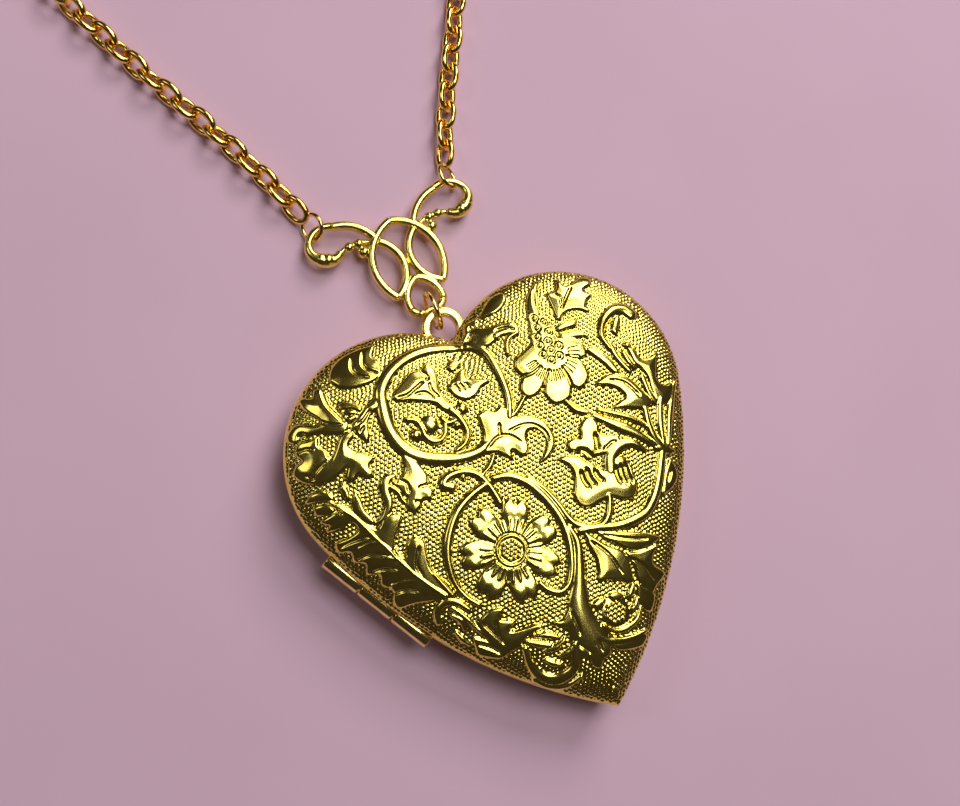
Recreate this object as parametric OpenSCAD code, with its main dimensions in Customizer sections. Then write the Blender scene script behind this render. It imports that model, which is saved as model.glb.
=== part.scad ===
// Heart locket pendant on a filigree connector and a cable chain, laid flat with its back on a table.
// Heights are measured from the table. Every piece is drawn with the heart's tip at x = 0, y = 0 and
// its axis along +Y, then moved so that the origin is under the middle of locket, connector and rings.

/* [Locket] */
// Width of the heart
heart_w = 40; // [36:1:44]
// Distance of each lobe's centre from the heart's axis
lobe_x = 8.2; // [7.8:0.1:8.8]
// Distance of the lobe centres from the tip
lobe_y = 29.2; // [28.5:0.1:30]
// Radius of the long side arcs
side_r = 50; // [46:1:56]
// Radius left at the bottom of the cleft
cleft_r = 0.3; // [0.2:0.1:0.6]
// Height of each cover, from the seam to its crown
cover_h = 3.7; // [3.2:0.1:4.2]
// Height of the straight wall at the rim of each cover
rim_h = 0.7; // [0.5:0.1:0.9]
// Distance from the rim over which each cover is domed
dome_w = 9.5; // [8:0.5:10.5]
// Roundness of the dome: 2 is elliptic
dome_n = 2.1; // [1.9:0.1:2.5]
// Thickness of the stamped sheet
sheet_t = 0.5; // [0.4:0.05:0.6]
// Gap between the two rims
seam_gap = 0.06; // [0.04:0.02:0.1]

/* [Inside] */
// Distance of the closing lip from the rim's outside
lip_inset = 0.65; // [0.6:0.05:0.75]
// Thickness of the closing lip
lip_t = 0.3; // [0.2:0.05:0.35]
// Height of the closing lip above the seam
lip_up = 0.8; // [0.5:0.1:0.8]
// Width of the photo frames
frame_w = 2; // [1.5:0.1:3]
// Thickness of the photo frames
frame_t = 0.4; // [0.3:0.1:0.5]

/* [Hinge] */
// Distance of the hinge's middle from the tip, along the heart's axis
hinge_y = 18.3; // [16:0.1:20]
// Outer diameter of the knuckles
knuckle_d = 1.6; // [1.4:0.1:1.8]
// Length of each of the two outer knuckles
knuckle_len = 4; // [3.5:0.1:4.4]
// Length of the middle knuckle
middle_len = 3.8; // [3.4:0.1:4.2]
// Gap between neighbouring knuckles
knuckle_gap = 0.12; // [0.08:0.02:0.2]
// Diameter of the hinge pin
pin_d = 0.8; // [0.7:0.05:0.9]
// Running clearance of the pin in the middle knuckle, on the radius
pin_play = 0.05; // [0.02:0.01:0.08]

/* [Bail] */
// Distance of the bail's hole from the tip
bail_y = 39.4; // [39:0.1:39.8]
// Outer radius of the bail
bail_r = 2.15; // [2:0.05:2.3]
// Radius of the bail's hole
bail_hole_r = 1.3; // [1.2:0.05:1.4]
// Thickness of the bail
bail_t = 0.95; // [0.8:0.05:1.05]
// Outer diameter of the ring that joins bail and connector
bail_ring_d = 4.2; // [4.1:0.1:4.5]
// Wire diameter of that ring
bail_wire_d = 0.5; // [0.4:0.05:0.55]

/* [Connector] */
// Width of the flat bars of the connector
bar_w = 0.6; // [0.5:0.05:0.7]
// Height of the flat bars
bar_h = 1.1; // [0.9:0.1:1.2]
// Height of the connector's middle above the table
connector_z = 1.35; // [1.2:0.05:1.5]
// Outer diameter of the rings in the wings
wing_ring_d = 3; // [2.9:0.1:3.2]
// Wire diameter of those rings
wing_wire_d = 0.45; // [0.4:0.05:0.5]
// Distance of the wing rings from the tip
wing_ring_y = 54; // [53.9:0.1:54.1]
// Tilt of the wing rings out of the table plane, in degrees
wing_tilt = 50; // [45:1:60]

/* [Chain] */
// Outer diameter of the chain
chain_d = 2.3; // [2:0.1:2.5]
// Radius of each coil's outer turn, at the middle of the chain
coil_r = 13.8; // [13:0.1:14]
// Turns in the left coil
left_turns = 2.2; // [2:0.1:2.4]
// Turns in the right coil
right_turns = 2.4; // [2:0.1:2.6]

/* [Clasp] */
// Outer radius of the hook
hook_r = 2.6; // [2.4:0.1:2.8]
// Radius of the opening inside the hook
hook_hole_r = 1.5; // [1.4:0.1:1.6]
// Thickness of the clasp
clasp_t = 2.2; // [2:0.1:2.4]
// Outer diameter of the ring at the other end of the necklace
end_ring_d = 4; // [3.8:0.1:4.2]
// Wire diameter of that ring
end_wire_d = 0.7; // [0.6:0.05:0.8]

/* [Hidden] */

GOLD = [0.80, 0.62, 0.24];
PALE_GOLD = [0.86, 0.75, 0.45];
WARM_GOLD = [0.83, 0.60, 0.18];

// Overall length without the chain, and where the origin lies along it
overall_len = wing_ring_y + wing_ring_d / 2;
origin_y = overall_len / 2;

// Heart: each half is a side arc and a lobe arc that share a tangent, and the cleft is a small arc
// that touches both lobes. Insets keep all the centres.
lobe_r = heart_w / 2 - lobe_x;
lobe_c = [lobe_x, lobe_y];
seam_z = cover_h;
cleft_c = [0, lobe_y + sqrt(pow(lobe_r + cleft_r, 2) - pow(lobe_x, 2))];
// Centre of the right side arc: side_r from the tip, and side_r - lobe_r from the lobe's centre
tip_to_lobe = norm(lobe_c);
along = (pow(side_r, 2) - pow(side_r - lobe_r, 2) + pow(tip_to_lobe, 2)) / (2 * tip_to_lobe);
across = sqrt(pow(side_r, 2) - pow(along, 2));
side_c = (lobe_c * along + [-lobe_y, lobe_x] * across) / tip_to_lobe;

SIDE_STEPS = 12;
LOBE_STEP = 9;
CLEFT_STEPS = 4;
DOME_STEPS = 7;

// Inside: how far the lip goes down in the back cover, and where the photo frames lie.
// The front frame is pressed under the dome; the back frame rests inside the lip.
lip_down = 1.45;
front_frame_inset = lip_inset + 0.05;
front_frame_z = seam_z + lip_up + 0.2;
back_frame_z = seam_z - 0.9;

// Hinge: the tangent of the left side arc at the hinge's middle, where the covers meet
hinge_ang = asin((hinge_y - side_c[1]) / side_r);
hinge_mid = [-side_c[0] - side_r * cos(hinge_ang), hinge_y, seam_z];
hinge_len = 2 * knuckle_len + middle_len + 2 * knuckle_gap;
outer_mid = (middle_len + knuckle_len) / 2 + knuckle_gap;
lip_gap = 4.5;
leaf_t = 0.35;
leaf_in = 0.45;
// The leaves in the back cover are taller than the leaf under the front photo frame
back_leaf_h = 1.8;
front_leaf_h = 0.95;
notch_play = 0.12;

// Bail ring: its wire passes through the bail's hole and round the connector's lowest bar
bail_top_z = seam_z - 0.15;
bail_play = 0.05;
bail_ring_c = [0, 41.55, 2.3];
foot_y = 42;

// Wing rings: the round part of the wing passes through them
wing_ring_x = 7.4;
wing_bar_y = wing_ring_y - 0.6;

// Routes of the two strands from the wing rings to their coils, and the coils' centres
LEFT_COIL = [-16, 106.5];
RIGHT_COIL = [14.5, 95.5];
LEFT_ROUTE = [[-7.9, 55.6], [-8.9, 58.5], [-10.1, 61.5], [-11.4, 64.5], [-12.8, 67.5], [-14.3, 70.5],
              [-15.8, 73.5], [-17.2, 76.5], [-18.5, 79.5], [-19.8, 82.5], [-21.1, 85.5], [-22.4, 88.5],
              [-23.7, 91.5], [-25.0, 94.5], [-26.4, 97.5]];
RIGHT_ROUTE = [[7.9, 55.6], [8.8, 57.6], [9.8, 59.6], [10.9, 61.7], [12.0, 63.7], [13.2, 65.8],
               [14.4, 67.8], [15.5, 69.8], [16.7, 71.8], [17.9, 73.9], [19.1, 76.0], [20.3, 78.1],
               [21.5, 80.2], [22.7, 82.2], [23.9, 84.3]];
TUBE_SIDES = 8;

// Clasp: its eye lies inside the right coil and its hook points across the coil's middle
clasp_eye = [12.2, 100.1];
clasp_turn = -153;
eye_r = 1.25;
eye_hole_r = 0.75;
eye_t = 0.6;
hook_y = 5.3;
lever_pivot = [1.55, 2.6];
lever_pin_r = 0.3;
lever_t = 0.8;
lever_play = 0.04;
clasp_ring_y = -1.55;
clasp_ring_z = 1.12;
clasp_ring_d = 3.2;
clasp_ring_tilt = 40;
// End ring: it lies inside the left coil, touching the chain's last link
end_ring_c = [-19.7, 110.4];

function turn_up(a) = (a % 360 + 360) % 360;
function reversed(v) = [for (i = [len(v) - 1:-1:0]) v[i]];
function mirrored(v) = [for (p = v) [-p[0], p[1]]];
function on_circle(c, r, a) = c + r * [cos(a), sin(a)];
function angle_of(v) = atan2(v[1], v[0]);

// Right half of the heart outline moved inwards by s, from just above the tip to the cleft
function heart_half(s) =
    let (r = side_r - s,
         tip_a = -acos(-side_c[0] / r),
         join_a = angle_of(lobe_c - side_c),
         cleft_a = angle_of(cleft_c - lobe_c))
    concat([for (i = [1:SIDE_STEPS]) on_circle(side_c, r, tip_a + (join_a - tip_a) * i / SIDE_STEPS)],
           [for (a = [0:LOBE_STEP:cleft_a - 4]) on_circle(lobe_c, lobe_r - s, a)],
           [for (i = [0:CLEFT_STEPS - 1])
               let (a = cleft_a - 180, b = -90)
               on_circle(cleft_c, cleft_r + s, a + (b - a) * i / CLEFT_STEPS)]);

// Closed heart outline moved inwards by s, counter-clockwise from the tip
function heart(s) =
    let (half = heart_half(s),
         tip = [0, side_c[1] - sqrt(pow(side_r - s, 2) - pow(side_c[0], 2))],
         cleft = cleft_c - [0, cleft_r + s])
    concat([tip], half, [cleft], reversed(mirrored(half)));

function lifted(v, z) = [for (p = v) [p[0], p[1], z]];

// Rings of a domed cover from rim to crown: the straight wall, then the dome.
// inset is 0 for the outside and the sheet's thickness for the inside.
function cover_rings(inset) =
    concat([lifted(heart(inset), seam_gap / 2)],
           [for (i = [0:DOME_STEPS])
               let (a = 90 * i / DOME_STEPS,
                    s = inset + (dome_w - inset) * (1 - pow(cos(a), 2 / dome_n)),
                    z = rim_h + (cover_h - rim_h - inset) * pow(sin(a), 2 / dome_n))
               lifted(heart(s), z)]);

// Closed solid through a list of rings with the same number of points each
module skin(rings) {
    n = len(rings[0]);
    last = len(rings) - 1;
    polyhedron(
        points = [for (ring = rings) for (p = ring) p],
        faces = concat(
            [[for (j = [0:n - 1]) j]],
            [for (i = [0:last - 1]) for (j = [0:n - 1]) [i * n + j, (i + 1) * n + j, i * n + (j + 1) % n]],
            [for (i = [0:last - 1]) for (j = [0:n - 1])
                [i * n + (j + 1) % n, (i + 1) * n + j, (i + 1) * n + (j + 1) % n]],
            [[for (j = [n - 1:-1:0]) last * n + j]]));
}

// Everything is drawn with the tip at the origin and moved here to its place
module in_place() {
    translate([0, -origin_y, 0]) children();
}

// Hinge frame: +Y along the hinge, +X into the heart, origin at the hinge's middle
module at_hinge() {
    translate(hinge_mid) rotate([0, 0, -hinge_ang]) children();
}

module cover_shell() {
    skin(concat(reversed(cover_rings(sheet_t)), cover_rings(0)));
}

// Room for the knuckles in the rims
module hinge_notch() {
    at_hinge()
        rotate([90, 0, 0])
            cylinder(r = knuckle_d / 2 + notch_play, h = hinge_len + 2 * notch_play, center = true, $fn = 32);
}

module front_cover() {
    color(GOLD) in_place() difference() {
        translate([0, 0, seam_z]) cover_shell();
        hinge_notch();
    }
}

module back_cover() {
    color(GOLD) in_place() difference() {
        translate([0, 0, seam_z]) mirror([0, 0, 1]) cover_shell();
        hinge_notch();
    }
}

// Flat heart-shaped band between two insets
module heart_band(outer, inner, z, h) {
    translate([0, 0, z]) linear_extrude(h) difference() {
        polygon(heart(outer));
        polygon(heart(inner));
    }
}

// Lip of the back cover that closes inside the front cover, cut away along the hinge and at the bail
module closing_lip() {
    color(GOLD) in_place() difference() {
        heart_band(lip_inset, lip_inset + lip_t, seam_z - lip_down, lip_down + lip_up);
        at_hinge() cube([lip_gap, hinge_len + 1, lip_gap], center = true);
        translate([0, bail_y, bail_top_z - bail_t - bail_play])
            cylinder(r = bail_r + bail_play, h = bail_t + 2 * bail_play, $fn = 64);
    }
}

// Thin frames that hold a photo in each cover
module photo_frame_front() {
    color(GOLD) in_place()
        heart_band(front_frame_inset, front_frame_inset + frame_w, front_frame_z, frame_t);
}

module photo_frame_back() {
    color(GOLD) in_place()
        heart_band(lip_inset + lip_t, lip_inset + lip_t + frame_w, back_frame_z, frame_t);
}

// One knuckle with the leaf that is soldered inside a cover, reaching above or below the seam
module knuckle(middle, length, bore_r, above, below) {
    color(PALE_GOLD) in_place() at_hinge() translate([0, middle, 0]) difference() {
        union() {
            rotate([90, 0, 0]) cylinder(d = knuckle_d, h = length, center = true, $fn = 48);
            translate([leaf_in, -length / 2, -below]) cube([leaf_t, length, above + below]);
        }
        rotate([90, 0, 0]) cylinder(r = bore_r, h = length + 1, center = true, $fn = 48);
    }
}

module hinge_knuckle_upper() {
    knuckle(outer_mid, knuckle_len, pin_d / 2, 0, back_leaf_h);
}

module hinge_knuckle_lower() {
    knuckle(-outer_mid, knuckle_len, pin_d / 2, 0, back_leaf_h);
}

module hinge_knuckle_middle() {
    knuckle(0, middle_len, pin_d / 2 + pin_play, front_leaf_h, 0);
}

module hinge_pin() {
    color(PALE_GOLD) in_place() at_hinge()
        rotate([90, 0, 0]) cylinder(d = pin_d, h = hinge_len, center = true, $fn = 48);
}

// Flat stamped loop in the cleft
module bail_loop() {
    color(GOLD) in_place() translate([0, bail_y, bail_top_z - bail_t]) difference() {
        cylinder(r = bail_r, h = bail_t, $fn = 64);
        translate([0, 0, -1]) cylinder(r = bail_hole_r, h = bail_t + 2, $fn = 64);
    }
}

// Round wire ring in the XY plane
module wire_ring(outer_d, wire_d) {
    rotate_extrude($fn = 64) translate([(outer_d - wire_d) / 2, 0]) circle(d = wire_d, $fn = 24);
}

module bail_ring() {
    color(WARM_GOLD) in_place() translate(bail_ring_c) rotate([0, 90, 0]) wire_ring(bail_ring_d, bail_wire_d);
}

// Centre of the circle through three points
function centre3(p, m, q) =
    let (a = m - p, b = q - p,
         d = 2 * (a[0] * b[1] - a[1] * b[0]),
         u = (b[1] * (a * a) - a[1] * (b * b)) / d,
         v = (a[0] * (b * b) - b[0] * (a * a)) / d)
    p + [u, v];

// Points of the arc from p through m to q
function arc3(p, m, q, steps) =
    let (c = centre3(p, m, q),
         start = angle_of(p - c),
         to_m = turn_up(angle_of(m - c) - start),
         to_q = turn_up(angle_of(q - c) - start),
         sweep = to_m < to_q ? to_q : to_q - 360)
    [for (i = [0:steps]) on_circle(c, norm(p - c), start + sweep * i / steps)];

// Points of a list with a diameter each, going evenly from d0 to d1
function tapered(points, d0, d1) =
    let (last = len(points) - 1)
    [for (i = [0:last]) [points[i][0], points[i][1], d0 + (d1 - d0) * i / last]];

// Flat bar of the connector along a list of points
module flat_bar(points) {
    for (i = [0:len(points) - 2]) hull()
        for (p = [points[i], points[i + 1]])
            translate([p[0], p[1], -bar_h / 2]) cylinder(d = bar_w, h = bar_h, $fn = 8);
}

// Round bar along a list of points with a diameter each
module round_bar(points) {
    for (i = [0:len(points) - 2]) hull()
        for (p = [points[i], points[i + 1]])
            translate([p[0], p[1], 0]) sphere(d = p[2], $fn = 10);
}

module bead(p, d) {
    translate([p[0], p[1], 0]) sphere(d = d, $fn = 14);
}

// Right half of the connector: pointed oval, side of the lower loop, and wing with comma and beads
module connector_half() {
    flat_bar(arc3([0, 51.8], [3.1, 49.2], [2.5, 44.3], 9));
    flat_bar(arc3([1.9, 50.2], [0.45, 47.2], [2.4, 44.3], 6));
    flat_bar(arc3([0, 45.5], [1.3, 44.5], [1.75, 42.6], 4));
    round_bar(tapered(arc3([1.75, 42.7], [1.3, 42.1], [0, foot_y], 4), 0.85, 0.7));
    bead([1, foot_y - 0.1], 1);
    flat_bar(arc3([2.1, 50.7], [3.4, 52.4], [5.6, 53.3], 4));
    round_bar(concat(
        tapered(arc3([5.4, 53.2], [wing_ring_x, wing_bar_y], [8.4, 52.5], 4), 0.62, 0.62),
        tapered(arc3([8.6, 51.9], [8.3, 50.9], [7.4, 50.3], 3), 0.7, 1.2),
        tapered(arc3([6.9, 50.2], [6.3, 50.3], [5.7, 50.6], 2), 1.2, 0.8),
        [[4.7, 50.75, 0.55], [3.7, 50.95, 0.55], [2.5, 50.4, 0.55]]));
    bead([4.7, 50.75], 0.9);
    bead([3.7, 50.95], 0.8);
    bead([3.8, 49.85], 0.9);
    round_bar([[3.8, 49.85, 0.55], [2.4, 50.1, 0.55]]);
}

module connector() {
    color(PALE_GOLD) in_place() translate([0, 0, connector_z]) {
        connector_half();
        mirror([1, 0, 0]) connector_half();
    }
}

module wing_ring(side) {
    color(WARM_GOLD) in_place()
        translate([side * wing_ring_x, wing_ring_y, connector_z])
            rotate([0, side * wing_tilt, 0]) wire_ring(wing_ring_d, wing_wire_d);
}

module wing_ring_left() {
    wing_ring(-1);
}

module wing_ring_right() {
    wing_ring(1);
}

// Solid of a strand lying on the table along a route
module strand(route) {
    last = len(route) - 1;
    rings = [for (i = [0:last])
        let (step = route[min(i + 1, last)] - route[max(i - 1, 0)],
             ahead = step / norm(step))
        [for (k = [0:TUBE_SIDES - 1])
            let (a = 360 * k / TUBE_SIDES)
            [route[i][0] - ahead[1] * cos(a) * chain_d / 2,
             route[i][1] + ahead[0] * cos(a) * chain_d / 2,
             chain_d / 2 + sin(a) * chain_d / 2]]];
    color(WARM_GOLD) in_place() skin(rings);
}

// Solid of a flat coil whose turns lie side by side
module coil(centre, turns) {
    outer = coil_r + chain_d / 2;
    inner = coil_r - turns * chain_d - chain_d / 2;
    color(WARM_GOLD) in_place() translate([centre[0], centre[1], 0])
        rotate_extrude($fn = 96) translate([inner, 0]) square([outer - inner, chain_d]);
}

module chain_left() {
    strand(LEFT_ROUTE);
}

module chain_right() {
    strand(RIGHT_ROUTE);
}

module chain_left_coil() {
    coil(LEFT_COIL, left_turns);
}

module chain_right_coil() {
    coil(RIGHT_COIL, right_turns);
}

module end_ring() {
    color(WARM_GOLD) in_place() translate([end_ring_c[0], end_ring_c[1], end_wire_d / 2])
        wire_ring(end_ring_d, end_wire_d);
}

// Clasp frame: origin at the middle of the eye's thickness, +Y towards the hook
module at_clasp() {
    in_place() translate([clasp_eye[0], clasp_eye[1], clasp_t / 2]) rotate([0, 0, clasp_turn]) children();
}

module clasp_ring() {
    color(WARM_GOLD) at_clasp() translate([0, clasp_ring_y, clasp_ring_z - clasp_t / 2])
        rotate([0, clasp_ring_tilt, 0]) wire_ring(clasp_ring_d, wing_wire_d);
}

module slab(r, h) {
    cylinder(r = r, h = h, center = true, $fn = 48);
}

// Hook, shank and eye of the clasp, with a slot for the lever and a gate opening in the hook
module clasp_body() {
    color(GOLD) at_clasp() difference() {
        union() {
            slab(eye_r, eye_t);
            translate([0, hook_y, 0]) slab(hook_r, clasp_t);
            translate([-1.1, 0.6, -clasp_t / 2]) cube([2.9, 3, clasp_t]);
        }
        slab(eye_hole_r, 3);
        translate([0, hook_y, 0]) slab(hook_hole_r, 3);
        // gate opening on the lever's side
        translate([0.75, 1.5, -lever_t / 2 - 0.1]) cube([4, 3.4, lever_t + 0.2]);
        translate([0.6, 3.7, -2]) cube([4, 2.6, 4]);
        translate([lever_pivot[0], lever_pivot[1], 0]) slab(lever_pin_r, 3);
    }
}

// Spring-loaded gate with its thumb tab
module clasp_lever() {
    color(GOLD) at_clasp() difference() {
        union() {
            translate([lever_pivot[0], lever_pivot[1], 0]) slab(0.75, lever_t);
            translate([lever_pivot[0] + 0.1, lever_pivot[1] - 0.2, -lever_t / 2]) cube([0.65, 3.8, lever_t]);
            translate([lever_pivot[0] + 0.3, lever_pivot[1] - 0.5, -lever_t / 2]) cube([1.5, 0.8, lever_t]);
        }
        translate([lever_pivot[0], lever_pivot[1], 0]) slab(lever_pin_r + lever_play, 3);
    }
}

module clasp_pin() {
    color(PALE_GOLD) at_clasp() translate([lever_pivot[0], lever_pivot[1], 0]) slab(lever_pin_r, clasp_t);
}

// Small coil spring behind the lever, drawn as its outer shape
module clasp_spring() {
    color(PALE_GOLD) at_clasp() translate([0.3, 2.3, 0]) rotate([0, 90, 0]) slab(0.3, 0.8);
}

front_cover();
back_cover();
closing_lip();
photo_frame_front();
photo_frame_back();
hinge_knuckle_upper();
hinge_knuckle_lower();
hinge_knuckle_middle();
hinge_pin();
bail_loop();
bail_ring();
connector();
wing_ring_left();
wing_ring_right();
chain_left();
chain_left_coil();
chain_right();
chain_right_coil();
end_ring();
clasp_ring();
clasp_body();
clasp_lever();
clasp_pin();
clasp_spring();
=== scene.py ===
"""Looks of the heart locket necklace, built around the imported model.

Shapes are worked out in millimetres in the heart's own frame: tip at (0, 0), axis along +Y,
z measured from the table. add_piece() moves them into the row's frame in metres.
"""
import math
import bpy
import numpy as np
from mathutils import Euler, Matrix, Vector
from mathutils.geometry import delaunay_2d_cdt


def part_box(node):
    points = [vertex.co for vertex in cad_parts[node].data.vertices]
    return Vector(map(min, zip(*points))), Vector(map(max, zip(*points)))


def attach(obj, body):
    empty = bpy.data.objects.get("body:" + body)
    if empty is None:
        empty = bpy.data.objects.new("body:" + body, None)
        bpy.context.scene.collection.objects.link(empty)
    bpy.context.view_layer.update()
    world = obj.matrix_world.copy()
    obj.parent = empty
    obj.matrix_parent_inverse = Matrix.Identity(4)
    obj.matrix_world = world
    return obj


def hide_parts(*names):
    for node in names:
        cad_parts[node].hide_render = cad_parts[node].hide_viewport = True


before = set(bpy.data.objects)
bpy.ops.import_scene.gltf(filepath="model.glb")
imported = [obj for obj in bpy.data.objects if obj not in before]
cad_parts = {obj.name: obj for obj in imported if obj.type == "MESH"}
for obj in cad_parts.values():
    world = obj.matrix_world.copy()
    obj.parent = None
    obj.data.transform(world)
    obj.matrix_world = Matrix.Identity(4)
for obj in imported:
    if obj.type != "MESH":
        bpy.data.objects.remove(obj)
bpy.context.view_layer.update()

MM = 0.001
TIP_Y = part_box("front_cover")[0][1] / MM
BAIL_BELOW_SEAM = 0.15
SEAM_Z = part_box("bail_loop")[1][2] / MM + BAIL_BELOW_SEAM
rng = np.random.default_rng(7)

# ---------------------------------------------------------------- camera

camera_data = bpy.data.cameras.new("camera")
camera = bpy.data.objects.new("camera", camera_data)
bpy.context.scene.collection.objects.link(camera)
bpy.context.scene.camera = camera
camera_data.sensor_width = 36
camera_data.lens = 41.25
camera_data.clip_start = 0.005
camera_data.clip_end = 5
camera.location = Vector((-23.95, 22.43 + TIP_Y, 106.5)) * MM
camera.rotation_euler = Euler([math.radians(a) for a in (9.85, -10.03, -24.8)], "XYZ")

# ---------------------------------------------------------------- materials


def shader_tree(name):
    material = bpy.data.materials.new(name)
    material.use_nodes = True
    tree = material.node_tree
    shader = next(n for n in tree.nodes if n.type == "BSDF_PRINCIPLED")
    return material, tree, shader


def noise(tree, scale, detail=3.0, rough=0.5):
    """A noise texture over the object's own coordinates, scale in waves per metre."""
    where = tree.nodes.new("ShaderNodeTexCoord")
    node = tree.nodes.new("ShaderNodeTexNoise")
    node.inputs["Scale"].default_value = scale
    node.inputs["Detail"].default_value = detail
    node.inputs["Roughness"].default_value = rough
    tree.links.new(where.outputs["Object"], node.inputs["Vector"])
    return node.outputs["Fac"]


def ramp(tree, source, stops):
    node = tree.nodes.new("ShaderNodeValToRGB")
    while len(node.color_ramp.elements) < len(stops):
        node.color_ramp.elements.new(0.5)
    for element, (place, colour) in zip(node.color_ramp.elements, stops):
        element.position = place
        element.color = (*colour, 1)
    tree.links.new(source, node.inputs["Fac"])
    return node.outputs["Color"]


def spread(tree, source, low, high):
    node = tree.nodes.new("ShaderNodeMapRange")
    node.inputs["To Min"].default_value = low
    node.inputs["To Max"].default_value = high
    tree.links.new(source, node.inputs["Value"])
    return node.outputs["Result"]


def gold(name, pale, deep, rough=(0.1, 0.22), patch=900, grain=9000, bump=0.02):
    """Plated gold: the tint wanders between pale and deep, with fine wear in the gloss."""
    material, tree, shader = shader_tree(name)
    shader.inputs["Metallic"].default_value = 1
    tint = ramp(tree, noise(tree, patch), [(0.35, deep), (0.65, pale)])
    tree.links.new(tint, shader.inputs["Base Color"])
    gloss = spread(tree, noise(tree, grain, 4), *rough)
    tree.links.new(gloss, shader.inputs["Roughness"])
    lumps = tree.nodes.new("ShaderNodeBump")
    lumps.inputs["Strength"].default_value = bump
    lumps.inputs["Distance"].default_value = 0.05 * MM
    tree.links.new(noise(tree, grain * 0.4, 2), lumps.inputs["Height"])
    tree.links.new(lumps.outputs["Normal"], shader.inputs["Normal"])
    return material


COVER_GOLD = gold("cover_gold", (0.93, 0.79, 0.20), (0.80, 0.64, 0.12), (0.12, 0.22))
INNER_GOLD = gold("inner_gold", (1.0, 0.80, 0.38), (0.95, 0.70, 0.28), (0.2, 0.34))
HINGE_GOLD = gold("hinge_gold", (0.97, 0.80, 0.30), (0.90, 0.68, 0.20), (0.1, 0.2))
RING_GOLD = gold("ring_gold", (1.0, 0.76, 0.30), (0.94, 0.64, 0.20), (0.08, 0.18))
CHAIN_GOLD = gold("chain_gold", (1.0, 0.74, 0.22), (0.92, 0.58, 0.12), (0.1, 0.2))
BAIL_GOLD = gold("bail_gold", (0.96, 0.80, 0.26), (0.88, 0.70, 0.18), (0.14, 0.24))
CONNECTOR_GOLD = gold("connector_gold", (0.95, 0.79, 0.24), (0.87, 0.70, 0.17), (0.16, 0.28))
CLASP_GOLD = gold("clasp_gold", (1.0, 0.80, 0.34), (0.94, 0.68, 0.24), (0.12, 0.24))
SPRING_STEEL = gold("spring_steel", (0.80, 0.80, 0.82), (0.68, 0.68, 0.70), (0.18, 0.3))

# ---------------------------------------------------------------- making pieces


def add_piece(name, verts, faces, material, body=None, slot=None, replaces=(), smooth=True):
    """A mesh from points in the heart's frame, riding on a body in place of CAD nodes."""
    points = (np.asarray(verts, float) + (0, TIP_Y, 0)) * MM
    mesh = bpy.data.meshes.new(name)
    mesh.from_pydata(points.tolist(), [], [tuple(int(i) for i in f) for f in faces])
    mesh.materials.append(material)
    mesh.polygons.foreach_set("use_smooth", [smooth] * len(mesh.polygons))
    mesh.update()
    piece = bpy.data.objects.new(name, mesh)
    bpy.context.scene.collection.objects.link(piece)
    if body:
        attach(piece, body)
    if replaces:
        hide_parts(*replaces)
    return piece


def join(parts):
    """One (verts, faces) from several."""
    verts, faces, start = [], [], 0
    for v, f in parts:
        verts.append(np.asarray(v, float))
        faces.extend([tuple(i + start for i in face) for face in f])
        start += len(v)
    return np.vstack(verts), faces


def grid_faces(rows, columns, closed_rows=False, closed_columns=True):
    faces = []
    for i in range(rows if closed_rows else rows - 1):
        for j in range(columns if closed_columns else columns - 1):
            a, b = i * columns, ((i + 1) % rows) * columns
            k = (j + 1) % columns
            faces.append((a + j, a + k, b + k, b + j))
    return faces


def section(sides, width, height, square=2.0):
    """Cross-section from a round (square = 2) towards a rectangle (square above 2)."""
    a = np.arange(sides) * 2 * math.pi / sides
    c, s = np.cos(a), np.sin(a)
    power = 2 / square
    return np.stack([np.sign(c) * np.abs(c) ** power * width / 2,
                     np.sign(s) * np.abs(s) ** power * height / 2], 1)


def directions(path, closed=False):
    if closed:
        ahead = np.roll(path, -1, 0) - np.roll(path, 1, 0)
    else:
        ahead = np.gradient(path, axis=0)
    return ahead / np.linalg.norm(ahead, axis=1, keepdims=True)


def sweep(path, outline, scale=None, up=(0, 0, 1), closed=False):
    """An outline carried along a path; its first axis lies across the path, its second near up."""
    path = np.asarray(path, float)
    ahead = directions(path, closed)
    across = np.cross(ahead, up)
    across /= np.linalg.norm(across, axis=1, keepdims=True)
    above = np.cross(across, ahead)
    scale = np.ones(len(path)) if scale is None else np.asarray(scale, float)
    rings = (path[:, None] + across[:, None] * (outline[:, 0] * scale[:, None])[..., None]
             + above[:, None] * (outline[:, 1] * scale[:, None])[..., None])
    n = len(outline)
    faces = [f[::-1] for f in grid_faces(len(path), n, closed)]
    if not closed:
        faces += [tuple(range(n)), tuple(range(len(path) * n - 1, (len(path) - 1) * n - 1, -1))]
    return rings.reshape(-1, 3), faces


def flat(points, z):
    points = np.asarray(points, float)
    return np.column_stack([points, np.full(len(points), float(z))])


def smooth_line(points, per=8):
    """Points of a Catmull-Rom curve through the given ones."""
    p = np.asarray(points, float)
    p = np.vstack([2 * p[0] - p[1], p, 2 * p[-1] - p[-2]])
    t = np.linspace(0, 1, per, endpoint=False)[:, None]
    out = []
    for a, b, c, d in zip(p[:-3], p[1:-2], p[2:-1], p[3:]):
        out.append(0.5 * (2 * b + (c - a) * t + (2 * a - 5 * b + 4 * c - d) * t ** 2
                          + (3 * b - a - 3 * c + d) * t ** 3))
    return np.vstack(out + [p[-2:-1]])


def turned(points, angles, centre=(0, 0, 0)):
    """Points turned by XYZ angles in degrees, then moved to a centre."""
    matrix = np.array(Euler([math.radians(a) for a in angles], "XYZ").to_matrix())
    return np.asarray(points) @ matrix.T + np.asarray(centre)


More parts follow.
